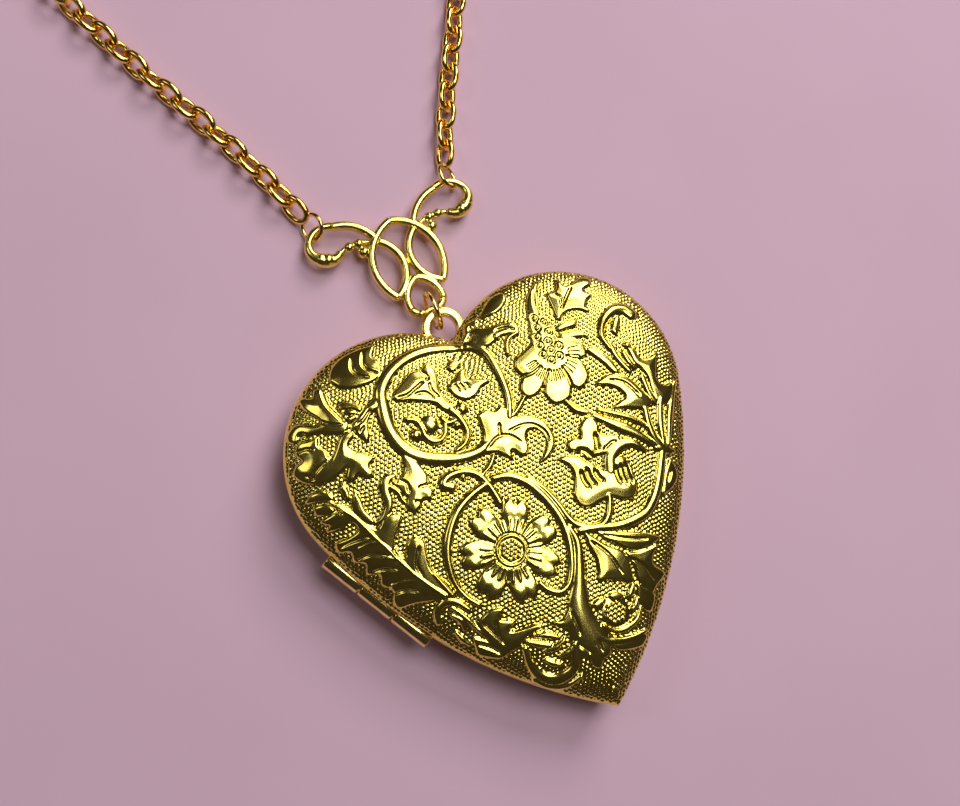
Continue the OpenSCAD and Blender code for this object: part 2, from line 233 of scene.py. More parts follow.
def wire_ring(outer, wire, angles, centre, cut=4.0):
    """A jump ring of round wire with the hairline cut where it was closed, cut in degrees."""
    r = (outer - wire) / 2
    a = np.radians(np.linspace(cut / 2, 360 - cut / 2, 73) + 90)
    path = np.stack([r * np.cos(a), r * np.sin(a), 0 * a], 1)
    verts, faces = sweep(path, section(16, wire, wire))
    return turned(verts, angles, centre), faces


# ---------------------------------------------------------------- chain

CHAIN_D = 2.3
LINK_LENGTH = 3.46
LINK_WIDTH = 2.5
LINK_WIRE = 0.68
LINK_SQUARE = 2 / 0.85
# Middle of the first link, room kept past the last, and how far a link looks each way
FIRST_LINK = 0.55 * LINK_LENGTH - 0.5
LAST_LINK_ROOM = LINK_LENGTH * 0.3
LINK_REACH = 0.8
LINK_PITCH = LINK_LENGTH - 2 * LINK_WIRE
LINK_ROLLS = (-48, 42)
CHAIN_Z = 1.12
COIL_R = 13.8
LEFT_COIL = (-16, 106.5)
RIGHT_COIL = (14.5, 95.5)
LEFT_ROUTE = [(-7.9, 55.6), (-8.9, 58.5), (-10.1, 61.5), (-11.4, 64.5), (-12.8, 67.5), (-14.3, 70.5),
              (-15.8, 73.5), (-17.2, 76.5), (-18.5, 79.5), (-19.8, 82.5), (-21.1, 85.5), (-22.4, 88.5),
              (-23.7, 91.5), (-25.0, 94.5), (-26.4, 97.5)]
RIGHT_ROUTE = [(7.9, 55.6), (8.8, 57.6), (9.8, 59.6), (10.9, 61.7), (12.0, 63.7), (13.2, 65.8),
               (14.4, 67.8), (15.5, 69.8), (16.7, 71.8), (17.9, 73.9), (19.1, 76.0), (20.3, 78.1),
               (21.5, 80.2), (22.7, 82.2), (23.9, 84.3)]


def spiral(centre, start, turns, way):
    """Turns side by side, a chain's width apart, from the outside in; way is 1 or -1."""
    count = int(turns * 24)
    a = np.linspace(0, turns, count + 1)
    angle = math.radians(start) + way * a * 2 * math.pi
    r = COIL_R - CHAIN_D * a
    return np.stack([centre[0] + r * np.cos(angle), centre[1] + r * np.sin(angle)], 1)


def strand_path(exit_point, route, coil, into):
    """The whole centreline of a strand: out of the wing ring, along the table, into its coil."""
    return flat(smooth_line(np.vstack([[exit_point], route, coil[:-2], [into]]), 6), CHAIN_Z)


def lengths(path):
    steps = np.linalg.norm(np.diff(path, axis=0), axis=1)
    return np.concatenate([[0], np.cumsum(steps)])


def link():
    """One oval link in its own plane, long axis along X."""
    outline = section(28, LINK_LENGTH - LINK_WIRE, LINK_WIDTH - LINK_WIRE, LINK_SQUARE)
    return sweep(flat(outline, 0), section(10, LINK_WIRE, LINK_WIRE), closed=True)


def chain_mesh(path):
    """Links along a path, each turned about a quarter from its neighbours."""
    along = lengths(path)
    total = along[-1]
    count = int((total - LAST_LINK_ROOM) / LINK_PITCH)
    pitch = (total - LAST_LINK_ROOM) / count
    base, faces = link()
    parts = []
    for i in range(count):
        middle = FIRST_LINK + pitch * i
        ends = [np.array([np.interp(middle + d, along, path[:, k]) for k in range(3)])
                for d in (-LINK_REACH, LINK_REACH)]
        ahead = ends[1] - ends[0]
        yaw = math.degrees(math.atan2(ahead[1], ahead[0]))
        roll = LINK_ROLLS[i % 2] + rng.uniform(-7, 7)
        centre = (ends[0] + ends[1]) / 2
        verts = turned(base, (roll, 0, 0))
        verts = turned(verts, (0, rng.uniform(-3, 3), yaw + rng.uniform(-2, 2)), centre)
        parts.append((verts, faces))
    return join(parts)


WING_RING_X = 7.4
WING_RING_Y = 54
left_path = strand_path((-7.5, 55.2), LEFT_ROUTE, spiral(LEFT_COIL, 204.5, 2.2, -1), (-20.9, 111.7))
right_path = strand_path((7.5, 55.2), RIGHT_ROUTE, spiral(RIGHT_COIL, -30, 2.4, 1), (10.9, 102.7))
for side, path in (("left", left_path), ("right", right_path)):
    verts, faces = chain_mesh(path)
    verts[:, 2] -= min(0, verts[:, 2].min())
    add_piece(f"chain_links_{side}", verts, faces, CHAIN_GOLD, f"strand_{side}",
                              "chain_gold", (f"chain_{side}", f"chain_{side}_coil"))

# ---------------------------------------------------------------- embossed pattern

MOTIF_H = 0.36
SHOULDER = 0.22
# Share of a leaf's height that swells towards its middle, and over what distance
CROWN_SHARE = 0.22
CROWN_W = 1.1
BEAD_PITCH = 0.45
BEAD_H = 0.15

# Closed outlines of raised leaves and petals, drawn smoothly through each list of points
SHAPES = [
    # oval leaf at the top of the left lobe
    [(-12.5, 38.3), (-11.9, 39.4), (-10.5, 40.1), (-8.6, 40.2), (-7.3, 39.9), (-7.9, 39.0),
     (-7.6, 38.2), (-7.9, 37.1), (-9.2, 36.7), (-10.9, 36.9), (-12.0, 37.5)],
    # horned leaf below it
    [(-15.8, 37.8), (-15.3, 38.0), (-14.6, 37.6), (-14.1, 38.2), (-13.4, 38.0), (-13.2, 37.2),
     (-13.3, 36.2), (-13.0, 35.2), (-12.6, 34.0), (-13.2, 33.4), (-14.2, 33.7), (-15.2, 34.2),
     (-16.2, 34.5), (-16.9, 34.9), (-17.5, 34.3), (-18.1, 34.7), (-17.9, 35.4), (-17.0, 35.9),
     (-16.1, 35.6), (-15.3, 35.1), (-14.8, 35.3), (-15.3, 36.2), (-15.7, 37.0)],
    # fan leaf and the forked leaf that joins the left ring
    [(-12.9, 35.8), (-12.2, 36.1), (-11.4, 35.6), (-10.8, 34.9), (-11.3, 34.4), (-12.4, 34.0), (-12.8, 34.6)],
    [(-8.0, 36.3), (-9.3, 35.4), (-10.6, 34.8), (-11.8, 34.1), (-12.4, 33.6), (-12.2, 32.6), (-11.7, 31.8),
     (-11.2, 32.4), (-10.9, 33.4), (-10.2, 34.1), (-9.4, 34.2), (-8.8, 35.0)],
    # lobed leaf at the left rim
    [(-18.9, 31.7), (-18.4, 32.4), (-17.7, 32.6), (-18.0, 33.4), (-17.4, 34.2), (-16.3, 34.1),
     (-15.6, 34.0), (-15.8, 33.2), (-15.4, 32.5), (-15.3, 31.7), (-14.6, 32.3), (-13.9, 33.1),
     (-13.1, 33.5), (-12.5, 32.9), (-13.3, 32.3), (-13.2, 31.7), (-12.4, 31.0), (-11.8, 30.2),
     (-12.4, 29.7), (-12.3, 29.0), (-13.0, 28.7), (-13.6, 29.4), (-14.3, 29.0), (-14.8, 29.5),
     (-14.3, 30.4), (-15.2, 30.1), (-16.6, 29.9), (-17.8, 30.3), (-18.6, 31.0)],
    # acanthus under the left ring and the leaf curling over it
    [(-9.3, 29.6), (-8.5, 28.9), (-8.1, 27.8), (-7.9, 26.8), (-8.2, 26.0), (-8.0, 25.3), (-8.5, 24.7),
     (-9.2, 24.9), (-9.7, 24.4), (-10.4, 24.2), (-10.9, 24.9), (-10.5, 25.8), (-10.9, 26.6),
     (-10.8, 27.4), (-10.2, 27.7), (-9.6, 28.3)],
    [(-10.4, 27.9), (-11.3, 28.4), (-12.2, 28.0), (-12.5, 27.0), (-12.6, 26.0), (-13.2, 25.2),
     (-14.0, 24.7), (-13.0, 24.7), (-12.2, 25.2), (-11.7, 26.0), (-11.6, 26.9), (-11.2, 27.6)],
    # lobes at the tip of the fern
    [(-18.9, 28.9), (-18.2, 29.5), (-17.3, 29.4), (-16.6, 28.9), (-16.4, 28.2), (-17.0, 28.3), (-17.9, 28.6)],
    [(-18.5, 28.3), (-17.6, 28.3), (-16.9, 27.8), (-16.8, 27.2), (-17.7, 27.2), (-18.5, 27.6)],
    [(-18.4, 26.9), (-17.4, 27.1), (-16.7, 27.1), (-16.2, 26.5), (-17.2, 26.2), (-18.0, 26.4)],
    [(-15.7, 28.9), (-15.3, 29.2), (-15.0, 28.6), (-15.1, 27.8), (-15.5, 27.7), (-15.7, 28.3)],
    [(-14.6, 28.2), (-14.3, 27.4), (-14.3, 26.2), (-13.9, 24.9), (-14.6, 24.9), (-15.1, 25.6),
     (-15.4, 26.6), (-15.2, 27.3)],
    # fern along the left rim
    [(-16.9, 28.3), (-16.3, 27.0), (-17.2, 26.5), (-18.2, 25.9), (-17.0, 25.6), (-15.9, 25.7), (-15.6, 24.9),
     (-16.6, 24.6), (-17.8, 24.6), (-17.9, 23.7), (-17.0, 23.3), (-17.0, 22.4), (-16.2, 21.8), (-16.4, 20.9),
     (-15.4, 20.4), (-15.6, 19.5), (-14.9, 18.6), (-15.2, 17.7), (-15.0, 16.9), (-13.6, 16.7), (-12.2, 16.3),
     (-10.9, 15.9), (-10.3, 15.8), (-10.4, 16.8), (-10.8, 18.0), (-11.0, 19.2), (-10.8, 20.4), (-10.6, 21.4),
     (-11.3, 22.2), (-12.2, 21.9), (-12.7, 21.0), (-13.1, 21.7), (-12.9, 22.7), (-12.1, 23.6),
     (-11.6, 24.4), (-12.4, 25.0), (-13.3, 24.8), (-14.0, 24.3), (-14.8, 25.5), (-15.5, 26.8), (-16.2, 27.8)],
    # leaves inside the left ring
    [(-8.0, 34.5), (-7.4, 35.2), (-6.4, 35.7), (-5.4, 36.2), (-4.4, 36.1), (-3.7, 36.4), (-3.2, 35.7),
     (-3.3, 34.6), (-3.6, 33.4), (-3.4, 32.4), (-2.9, 31.6), (-3.5, 31.3), (-4.1, 31.7), (-4.6, 32.6),
     (-5.6, 33.2), (-6.6, 33.7), (-7.4, 34.0)],
    [(-2.8, 33.6), (-2.5, 32.4), (-1.6, 31.7), (-0.6, 31.8), (0.2, 32.3), (1.2, 32.6), (0.2, 33.2),
     (-0.7, 33.6), (-0.5, 34.5), (-1.2, 34.6), (-2.0, 33.9)],
    [(-2.1, 35.3), (-1.3, 35.8), (-0.5, 35.3), (-1.0, 34.8), (-1.8, 34.7)],
    # acanthus at the centre, curling to the right
    [(-1.4, 30.0), (-0.5, 30.2), (0.3, 29.8), (1.1, 30.0), (1.5, 29.3), (1.4, 28.7), (2.5, 28.4),
     (3.6, 27.8), (4.4, 26.8), (4.6, 25.6), (4.2, 24.5), (3.3, 23.8), (2.2, 23.6), (3.0, 24.3),
     (3.6, 25.0), (3.7, 25.9), (3.3, 26.6), (2.6, 26.8), (2.1, 26.4), (1.9, 25.4), (1.4, 24.8),
     (0.8, 25.0), (0.3, 25.7), (0.0, 25.0), (-0.5, 25.4), (-1.2, 26.1), (-2.4, 26.6), (-2.2, 27.3),
     (-1.7, 28.0), (-1.5, 28.9)],
    # leaves in the cleft
    [(2.0, 38.0), (3.0, 38.6), (4.0, 39.4), (5.0, 40.0), (6.2, 40.0), (6.3, 39.3), (5.7, 38.7), (4.6, 38.3),
     (3.2, 38.3)],
    [(-0.4, 36.5), (0.6, 36.9), (1.4, 37.0), (1.6, 37.7), (2.4, 37.8), (3.2, 37.4), (4.4, 37.2),
     (5.4, 37.0), (5.9, 36.3), (5.8, 35.8), (4.8, 35.9), (3.8, 36.0), (3.2, 35.8), (2.4, 35.6),
     (1.8, 35.8), (1.2, 36.1), (0.6, 36.0)],
    # flower in the right lobe and the bracts beside it
    [(6.3, 34.2), (5.1, 33.8), (4.2, 33.5), (3.8, 32.6), (4.1, 31.7), (3.6, 31.0), (3.4, 30.2), (3.9, 29.6),
     (4.8, 29.6), (5.7, 30.0), (5.4, 29.2), (5.8, 28.2), (6.6, 27.9), (7.6, 28.1), (8.2, 28.9), (8.7, 28.5),
     (9.5, 28.6), (10.2, 29.3), (10.3, 30.3), (10.1, 31.0), (10.8, 31.1), (11.1, 32.0), (10.8, 32.9),
     (10.1, 33.4), (9.0, 33.8), (7.6, 34.4)],
    [(9.2, 34.1), (10.2, 33.9), (11.2, 33.6), (11.8, 32.7), (11.2, 32.9), (10.2, 33.2), (9.2, 33.4)],
    [(9.3, 34.8), (10.4, 35.0), (11.4, 34.7), (11.2, 34.2), (10.2, 34.2), (9.2, 34.3)],
    # maple leaf at the right lobe's rim
    [(9.9, 38.1), (10.7, 38.1), (11.2, 38.4), (11.8, 39.2), (12.1, 38.3), (13.0, 38.2), (14.0, 38.5),
     (14.9, 38.0), (14.6, 37.4), (13.6, 37.1), (14.2, 36.4), (13.4, 36.0), (12.7, 35.3), (11.8, 35.8),
     (10.8, 35.7), (9.8, 35.3), (9.8, 36.6)],
    # leaves of the right branch
    [(10.9, 31.7), (11.8, 31.6), (12.6, 30.6), (13.1, 29.3), (13.1, 28.3), (12.5, 28.6), (12.0, 29.8),
     (11.4, 30.8)],
    [(13.3, 31.8), (13.8, 31.2), (13.9, 29.8), (14.4, 28.2), (14.0, 27.9), (13.5, 29.1), (13.2, 30.4)],
    [(10.3, 28.3), (11.8, 28.6), (13.0, 28.3), (13.9, 27.4), (14.5, 26.2), (15.0, 24.5), (14.0, 24.2),
     (12.8, 24.7), (11.0, 25.5), (11.9, 25.8), (12.6, 26.0), (12.4, 26.8), (11.7, 27.5), (10.9, 27.9)],
    [(14.9, 30.2), (15.6, 29.9), (15.8, 28.9), (16.7, 28.6), (17.6, 28.7), (17.1, 27.6), (16.5, 26.4),
     (17.0, 25.6), (17.9, 25.5), (17.3, 24.3), (16.2, 23.7), (15.5, 24.3), (15.4, 25.6), (15.6, 26.8),
     (15.4, 27.8), (14.9, 28.8)],
    [(14.8, 27.0), (15.2, 27.6), (15.5, 27.0), (15.4, 25.6), (15.6, 24.4), (15.1, 24.2), (14.8, 25.4)],
    [(14.2, 32.4), (14.9, 33.3), (15.7, 33.6), (15.6, 33.0), (15.0, 32.2), (14.4, 31.8)],
    # tulip: trefoil, cup and the leaf beside the tie
    [(5.3, 23.5), (5.5, 24.3), (6.2, 24.4), (6.8, 24.2), (7.2, 25.1), (8.0, 25.7), (8.7, 25.6), (9.0, 24.8),
     (8.8, 23.8), (9.6, 23.3), (10.3, 22.9), (10.4, 22.3), (9.7, 21.8), (8.6, 21.8), (7.6, 22.0),
     (6.7, 22.0), (6.3, 22.8)],
    [(3.9, 23.2), (4.8, 23.2), (5.8, 22.7), (6.4, 21.9), (7.0, 21.3), (7.6, 20.5), (8.3, 20.4), (8.9, 21.2),
     (9.8, 21.0), (10.2, 20.0), (10.1, 18.6), (9.8, 17.5), (9.1, 17.0), (8.2, 17.2), (7.2, 17.9),
     (6.0, 18.0), (4.8, 17.9), (4.0, 18.4), (3.8, 19.4), (4.3, 20.4), (4.7, 21.5), (4.5, 22.4)],
    [(12.0, 16.2), (13.0, 16.1), (14.2, 16.7), (14.6, 17.6), (14.4, 18.9), (13.7, 18.5), (12.8, 17.5)],
    # leaves of the left branch
    [(-9.3, 12.9), (-8.6, 13.1), (-7.6, 13.4), (-6.5, 13.0), (-7.1, 12.2), (-6.0, 11.5), (-6.7, 10.9),
     (-5.6, 10.6), (-4.2, 10.4), (-3.9, 9.8), (-5.4, 9.7), (-6.6, 9.1), (-7.4, 9.1), (-8.2, 9.5),
     (-8.8, 10.5), (-9.1, 11.7)],
    [(-10.1, 11.7), (-9.4, 11.4), (-8.6, 10.7), (-7.8, 9.7), (-7.3, 9.1), (-8.4, 8.9), (-9.3, 9.4),
     (-10.2, 10.2)],
    # leaf and foot of the trunk
    [(-3.2, 10.1), (-2.0, 9.8), (-0.8, 10.5), (-0.3, 9.6), (-1.2, 8.8), (-2.2, 9.0)],
    [(-1.7, 7.4), (-0.8, 7.6), (0.3, 7.0), (1.2, 5.8), (0.9, 5.0), (0.1, 4.8), (-0.5, 4.2), (-1.1, 4.8),
     (-1.0, 5.8), (-1.7, 6.3)],
    # leaves to the right of the trunk
    [(4.1, 15.9), (5.4, 15.2), (7.0, 14.5), (8.6, 13.7), (10.1, 12.6), (9.2, 12.3), (8.0, 12.1), (6.8, 12.6),
     (5.8, 13.6), (4.8, 14.8)],
    [(3.2, 16.3), (3.9, 15.5), (4.8, 14.2), (5.9, 13.1), (6.2, 12.0), (6.0, 10.6), (5.7, 9.9), (5.0, 10.4),
     (4.0, 10.9), (2.6, 11.5), (2.9, 12.2), (3.2, 13.4), (3.1, 14.8)],
    [(6.1, 12.8), (7.4, 12.3), (9.6, 12.1), (8.7, 11.3), (8.4, 10.5), (9.2, 9.3), (7.9, 8.6), (7.1, 8.2),
     (6.6, 9.0), (6.2, 10.0), (6.4, 11.3)],
    [(6.0, 9.8), (6.6, 8.9), (7.3, 8.1), (7.0, 7.3), (6.2, 6.7), (5.5, 7.6), (5.5, 8.7)],
    [(1.0, 5.9), (2.4, 5.5), (5.0, 5.1), (4.4, 4.2), (3.0, 4.4), (1.8, 4.9)],
    [(1.1, 9.7), (1.7, 10.0), (2.5, 9.8), (2.2, 9.3), (1.4, 9.1)],
    [(2.9, 9.9), (3.7, 9.9), (4.4, 9.3), (3.9, 9.0), (3.0, 9.2)],
]

# Raised stems: points, then the widths at the start, middle and end
STEMS = [
    # left ring and the scrolls in it
    ([(0.2, 36.6), (-1.5, 37.2), (-3.0, 37.6), (-4.6, 37.7), (-6.2, 37.4), (-7.6, 36.7), (-8.6, 35.7),
      (-9.1, 34.3), (-9.4, 32.5), (-9.2, 30.8), (-8.6, 29.4), (-7.5, 28.4), (-6.2, 27.7), (-4.6, 27.1),
      (-2.8, 26.9), (-1.5, 27.2)], (0.8, 1.45, 1.1)),
    ([(1.0, 36.4), (1.9, 35.4), (2.2, 34.0), (2.3, 32.4), (2.2, 31.0), (1.9, 29.8), (1.4, 28.7)],
     (1, 0.9, 0.8)),
    ([(1.6, 28.6), (2.5, 29.1), (3.6, 29.9)], (0.5, 0.55, 0.3)),
    ([(-7.6, 32.3), (-6.8, 31.8), (-6.6, 31.0), (-6.6, 30.2), (-6.2, 29.5), (-5.4, 29.3), (-4.7, 29.8),
      (-4.4, 30.6)], (0.5, 0.8, 0.5)),
    ([(-3.4, 31.5), (-3.0, 30.6), (-2.8, 29.6), (-2.9, 28.8), (-3.5, 28.1), (-4.5, 27.8)], (0.8, 0.8, 0.5)),
    ([(-4.5, 31.1), (-4.2, 30.5), (-3.5, 30.4)], (0.5, 0.6, 0.5)),
    # two fingers of the acanthus
    ([(-11.5, 27.3), (-11.0, 26.5), (-10.9, 25.4)], (0.4, 0.55, 0.3)),
    ([(-11.0, 27.4), (-10.5, 26.7), (-10.3, 26.0)], (0.4, 0.55, 0.3)),
    # scroll between the ring and the daisy
    ([(-6.3, 24.9), (-6.9, 25.4), (-6.3, 25.9), (-5.2, 25.9), (-4.2, 25.5), (-3.5, 24.8), (-3.1, 23.8),
      (-2.9, 22.8), (-2.8, 21.8)], (1, 0.75, 0.8)),
    ([(-3.2, 24.8), (-2.2, 25.3), (-1.5, 26.0)], (0.4, 0.55, 0.4)),
    # loop round the daisy
    ([(-3.3, 23.9), (-5.0, 23.5), (-6.7, 22.7), (-8.0, 21.5), (-9.0, 20.0), (-9.5, 18.4), (-9.6, 16.8),
      (-9.2, 15.4), (-8.4, 14.2)], (0.8, 1, 0.55)),
    ([(-2.4, 24.1), (-1.0, 23.7), (0.2, 22.6), (1.0, 21.2), (1.5, 19.8), (1.8, 18.3), (1.8, 16.7),
      (1.4, 15.0), (0.7, 13.4), (-0.1, 12.4), (-1.1, 12.1), (-2.0, 12.7), (-2.5, 13.6)], (0.8, 1, 0.6)),
    # scroll under the tulip and the branch that runs up to the tie
    ([(0.6, 22.8), (1.6, 21.2), (2.2, 19.4), (2.5, 18.0), (3.0, 17.0), (4.0, 16.2), (5.2, 16.0), (6.1, 16.5),
      (6.7, 17.4), (7.0, 18.2)], (0.5, 0.8, 0.75)),
    ([(3.0, 16.4), (4.8, 15.9), (6.5, 15.3), (8.0, 15.1), (9.6, 15.2), (10.7, 15.8), (11.7, 16.7),
      (12.7, 18.0), (13.9, 19.8)], (0.8, 1.05, 1)),
    # branch to the right of the tie
    ([(14.0, 20.0), (13.7, 21.4), (13.7, 22.8), (14.0, 24.2)], (0.8, 0.9, 0.8)),
    ([(14.2, 20.0), (14.8, 22.0), (15.5, 23.6), (16.1, 24.6)], (0.6, 0.9, 0.8)),
    ([(14.8, 20.2), (15.8, 22.0), (17.0, 23.8), (18.2, 25.4)], (0.6, 0.9, 0.6)),
    ([(13.4, 20.4), (14.2, 19.9), (15.0, 19.4)], (0.6, 1, 0.6)),
    ([(13.3, 30.9), (13.1, 32.2), (13.6, 33.2), (14.5, 33.9), (15.7, 34.2), (16.6, 33.9), (17.1, 33.2)],
     (0.5, 1, 1.3)),
    ([(14.4, 30.0), (14.5, 29.0), (14.8, 28.2)], (0.5, 0.8, 0.5)),
    ([(8.9, 25.6), (10.4, 24.1), (12.0, 22.5), (13.4, 20.7)], (0.5, 1.25, 0.6)),
    ([(9.6, 25.9), (11.0, 24.9), (12.4, 23.8), (13.4, 22.6)], (0.5, 0.6, 0.5)),
    ([(7.1, 27.8), (7.6, 26.8), (8.5, 26.1)], (0.5, 0.75, 0.5)),
    ([(8.2, 20.2), (8.7, 21.3), (9.6, 21.9), (10.7, 22.0), (11.6, 21.5), (12.2, 20.6)], (1.45, 1.3, 0.5)),
    # bracts round the right flower
    ([(9.8, 35.5), (11.0, 36.0), (12.3, 35.7), (13.0, 35.1)], (0.4, 0.55, 0.4)),
    ([(3.9, 34.3), (4.5, 35.5), (5.7, 35.8)], (0.5, 0.55, 0.4)),
    ([(0.7, 37.0), (1.3, 37.5), (1.7, 38.2), (2.6, 38.4)], (0.5, 0.6, 0.5)),
    # trunk
    ([(2.2, 17.0), (2.3, 15.5), (1.6, 13.7), (0.8, 12.0), (0.0, 10.3), (-0.4, 8.6), (-0.3, 7.0)],
     (0.8, 1.45, 3.55)),
    # scroll and stem of the left branch
    ([(-12.3, 14.3), (-12.1, 15.1), (-11.5, 15.6), (-10.7, 15.6), (-10.0, 15.1), (-9.4, 14.2)],
     (0.6, 0.9, 0.6)),
    ([(-10.7, 15.0), (-10.0, 13.8), (-9.5, 12.6), (-9.0, 11.5)], (0.5, 0.6, 0.5)),
    ([(-11.0, 14.4), (-10.4, 13.6), (-10.4, 12.7)], (0.4, 0.75, 0.4)),
    ([(-11.2, 12.8), (-10.9, 12.0), (-10.5, 11.3)], (0.4, 0.6, 0.4)),
    ([(-10.9, 18.2), (-10.5, 17.0), (-10.2, 15.9)], (0.4, 0.6, 0.5)),
    # curl at the bottom left and the small leaves in it
    ([(-6.1, 8.8), (-6.2, 7.3), (-5.8, 6.0), (-4.9, 5.1), (-3.8, 4.9), (-2.7, 5.3), (-2.1, 6.2),
      (-1.8, 7.2)], (0.6, 1.25, 0.8)),
    ([(-6.3, 5.8), (-5.3, 4.7), (-3.9, 4.1), (-2.4, 4.3)], (0.5, 0.6, 0.5)),
    ([(-5.7, 9.3), (-4.9, 8.7), (-3.9, 8.1)], (0.4, 0.8, 0.4)),
    ([(-4.9, 9.5), (-3.9, 9.1), (-2.9, 8.4)], (0.4, 0.8, 0.4)),
    ([(-4.5, 7.8), (-3.6, 7.7), (-2.6, 8.0)], (0.4, 0.75, 0.4)),
    ([(-4.8, 7.1), (-4.3, 6.5), (-3.7, 6.1)], (0.4, 0.75, 0.4)),
    ([(-3.5, 6.8), (-2.5, 6.8), (-1.6, 7.4)], (0.4, 0.75, 0.4)),
    # scrolls round the rose
    ([(0.3, 9.0), (0.4, 7.6), (1.0, 6.4), (2.0, 5.8), (3.4, 5.4), (5.0, 5.3)], (0.5, 0.75, 0.5)),
    ([(1.3, 7.6), (2.1, 6.7), (3.3, 6.4), (4.6, 6.7), (5.4, 7.5)], (0.5, 0.75, 0.5)),
    ([(4.4, 11.5), (5.1, 11.7), (5.9, 12.3)], (0.5, 0.8, 0.5)),
    ([(4.6, 9.0), (5.1, 9.2), (5.6, 9.8)], (0.5, 1, 0.5)),
    ([(4.6, 7.8), (5.0, 7.9), (5.4, 8.4)], (0.5, 0.8, 0.5)),
]

# Ridges that stand on the fern: its rib and side veins
RIDGES = [
    [(-16.9, 28.2), (-16.1, 27.0), (-15.4, 25.9), (-14.9, 24.7), (-14.4, 23.4), (-13.9, 22.3),
     (-13.3, 20.8), (-12.6, 19.2), (-11.8, 17.8), (-10.8, 16.2)],
    [(-14.1, 22.9), (-15.0, 23.3), (-16.2, 23.3)], [(-12.6, 18.5), (-13.5, 18.9), (-14.8, 19.1)],
    [(-11.0, 18.4), (-10.6, 17.2), (-10.2, 16.0)], [(-15.2, 21.5), (-14.4, 21.6), (-13.6, 21.1)]]
RIDGE_W = (0.3, 0.45, 0.45)

# Fine engraved lines on the raised leaves
VEINS = [
    [(4.0, 31.7), (5.2, 31.6), (6.2, 31.9)], [(5.6, 30.0), (6.3, 30.8), (6.8, 31.3)],
    [(8.2, 28.8), (8.2, 30.0), (8.1, 31.1)], [(10.2, 31.0), (9.4, 31.4), (8.9, 31.9)],
    [(-16.8, 22.4), (-15.6, 22.4), (-14.3, 21.8)], [(-16.0, 20.9), (-14.8, 20.7), (-13.8, 20.2)],
    [(-15.2, 18.3), (-13.9, 18.2), (-12.8, 17.6)], [(-12.9, 22.6), (-13.4, 21.8), (-13.3, 21.2)],
    [(-11.3, 21.2), (-12.1, 19.8), (-12.0, 18.8)], [(-17.6, 24.1), (-16.2, 24.1), (-15.0, 23.9)],
    [(-9.8, 39.5), (-10.2, 38.5), (-9.9, 37.8), (-9.2, 37.3)],
    [(-8.6, 39.6), (-9.1, 38.6), (-8.9, 37.9), (-8.2, 37.3)],
    [(-13.5, 37.9), (-13.6, 36.5), (-13.2, 35.2), (-12.8, 34.1)],
    [(-14.7, 35.2), (-14.1, 34.6), (-13.2, 34.2)],
    [(-12.6, 35.3), (-11.8, 35.1), (-11.3, 34.6)], [(-12.5, 34.7), (-11.9, 34.6), (-11.5, 34.4)],
    [(-11.9, 33.6), (-11.2, 33.8), (-10.3, 34.4)], [(-11.9, 32.8), (-11.4, 33.2)],
    [(-17.8, 33.5), (-16.9, 33.4), (-16.4, 33.1)],
    [(-17.9, 31.2), (-17.4, 30.7), (-16.9, 31.2), (-15.7, 31.7)],
    [(-10.5, 27.5), (-10.0, 26.8), (-10.1, 26.1)], [(-9.1, 26.1), (-8.2, 26.0)], [(-9.9, 25.1), (-9.3, 24.6)],
    [(-7.5, 34.4), (-6.6, 34.3), (-5.6, 34.6), (-4.7, 34.9)], [(-5.9, 34.1), (-5.0, 33.9), (-4.4, 33.1)],
    [(-4.2, 34.6), (-4.3, 33.8), (-3.9, 33.0)], [(-4.5, 35.9), (-4.1, 35.2), (-4.4, 34.8)],
    [(-2.1, 33.5), (-1.9, 32.8)], [(-1.6, 33.4), (-1.4, 32.7)], [(-1.1, 33.3), (-0.9, 32.7)],
    [(-1.7, 26.9), (-0.5, 27.4), (0.6, 27.1), (1.4, 26.1)], [(-0.2, 27.4), (0.2, 28.5)],
    [(0.8, 27.5), (2.2, 27.5), (3.2, 27.1), (3.9, 26.1), (3.9, 25.2)],
    [(10.6, 38.0), (11.0, 37.2), (10.7, 36.6)], [(12.5, 37.8), (11.5, 37.0), (10.6, 36.2)],
    [(8.3, 36.4), (8.4, 37.6), (9.0, 38.8)], [(3.8, 36.7), (4.8, 36.6), (5.4, 36.2)],
    [(6.2, 12.9), (7.2, 12.5), (8.8, 12.2)], [(5.0, 15.1), (6.6, 14.0), (8.6, 13.0)],
    [(3.6, 15.0), (4.6, 13.2), (5.0, 11.2)], [(6.5, 12.0), (7.4, 10.8), (7.8, 9.2)],
    [(13.1, 17.0), (13.8, 17.8)], [(12.0, 28.1), (13.2, 27.2), (14.0, 25.6)],
    [(-1.6, 7.2), (-1.2, 6.6), (-0.7, 5.8)], [(-0.9, 10.0), (-0.9, 8.8), (-1.0, 7.8)],
    [(0.3, 6.6), (0.2, 5.6)],
    [(-8.7, 12.6), (-8.2, 11.4), (-7.6, 10.0)], [(-7.6, 12.2), (-7.9, 11.0)],
    [(-9.8, 11.0), (-8.9, 10.2), (-8.2, 9.3)],
    [(8.5, 22.3), (9.4, 22.6), (9.9, 22.5)],
]
# Slots between the tulip's sepals and the ladders on its cup
SLOTS = [
    [(6.2, 23.2), (6.7, 22.8), (7.1, 22.0)], [(8.3, 23.9), (8.1, 23.1), (7.9, 22.6)],
    [(5.5, 21.3), (5.4, 20.4), (5.6, 19.6)], [(6.1, 21.3), (6.0, 20.4), (6.2, 19.6)],
    [(6.8, 20.9), (6.8, 20.2), (7.1, 19.6)], [(8.8, 20.3), (8.6, 19.4), (8.7, 18.7)],
    [(9.3, 20.3), (9.1, 19.4), (9.1, 18.5)], [(9.8, 20.2), (9.6, 19.3), (9.6, 18.4)]]
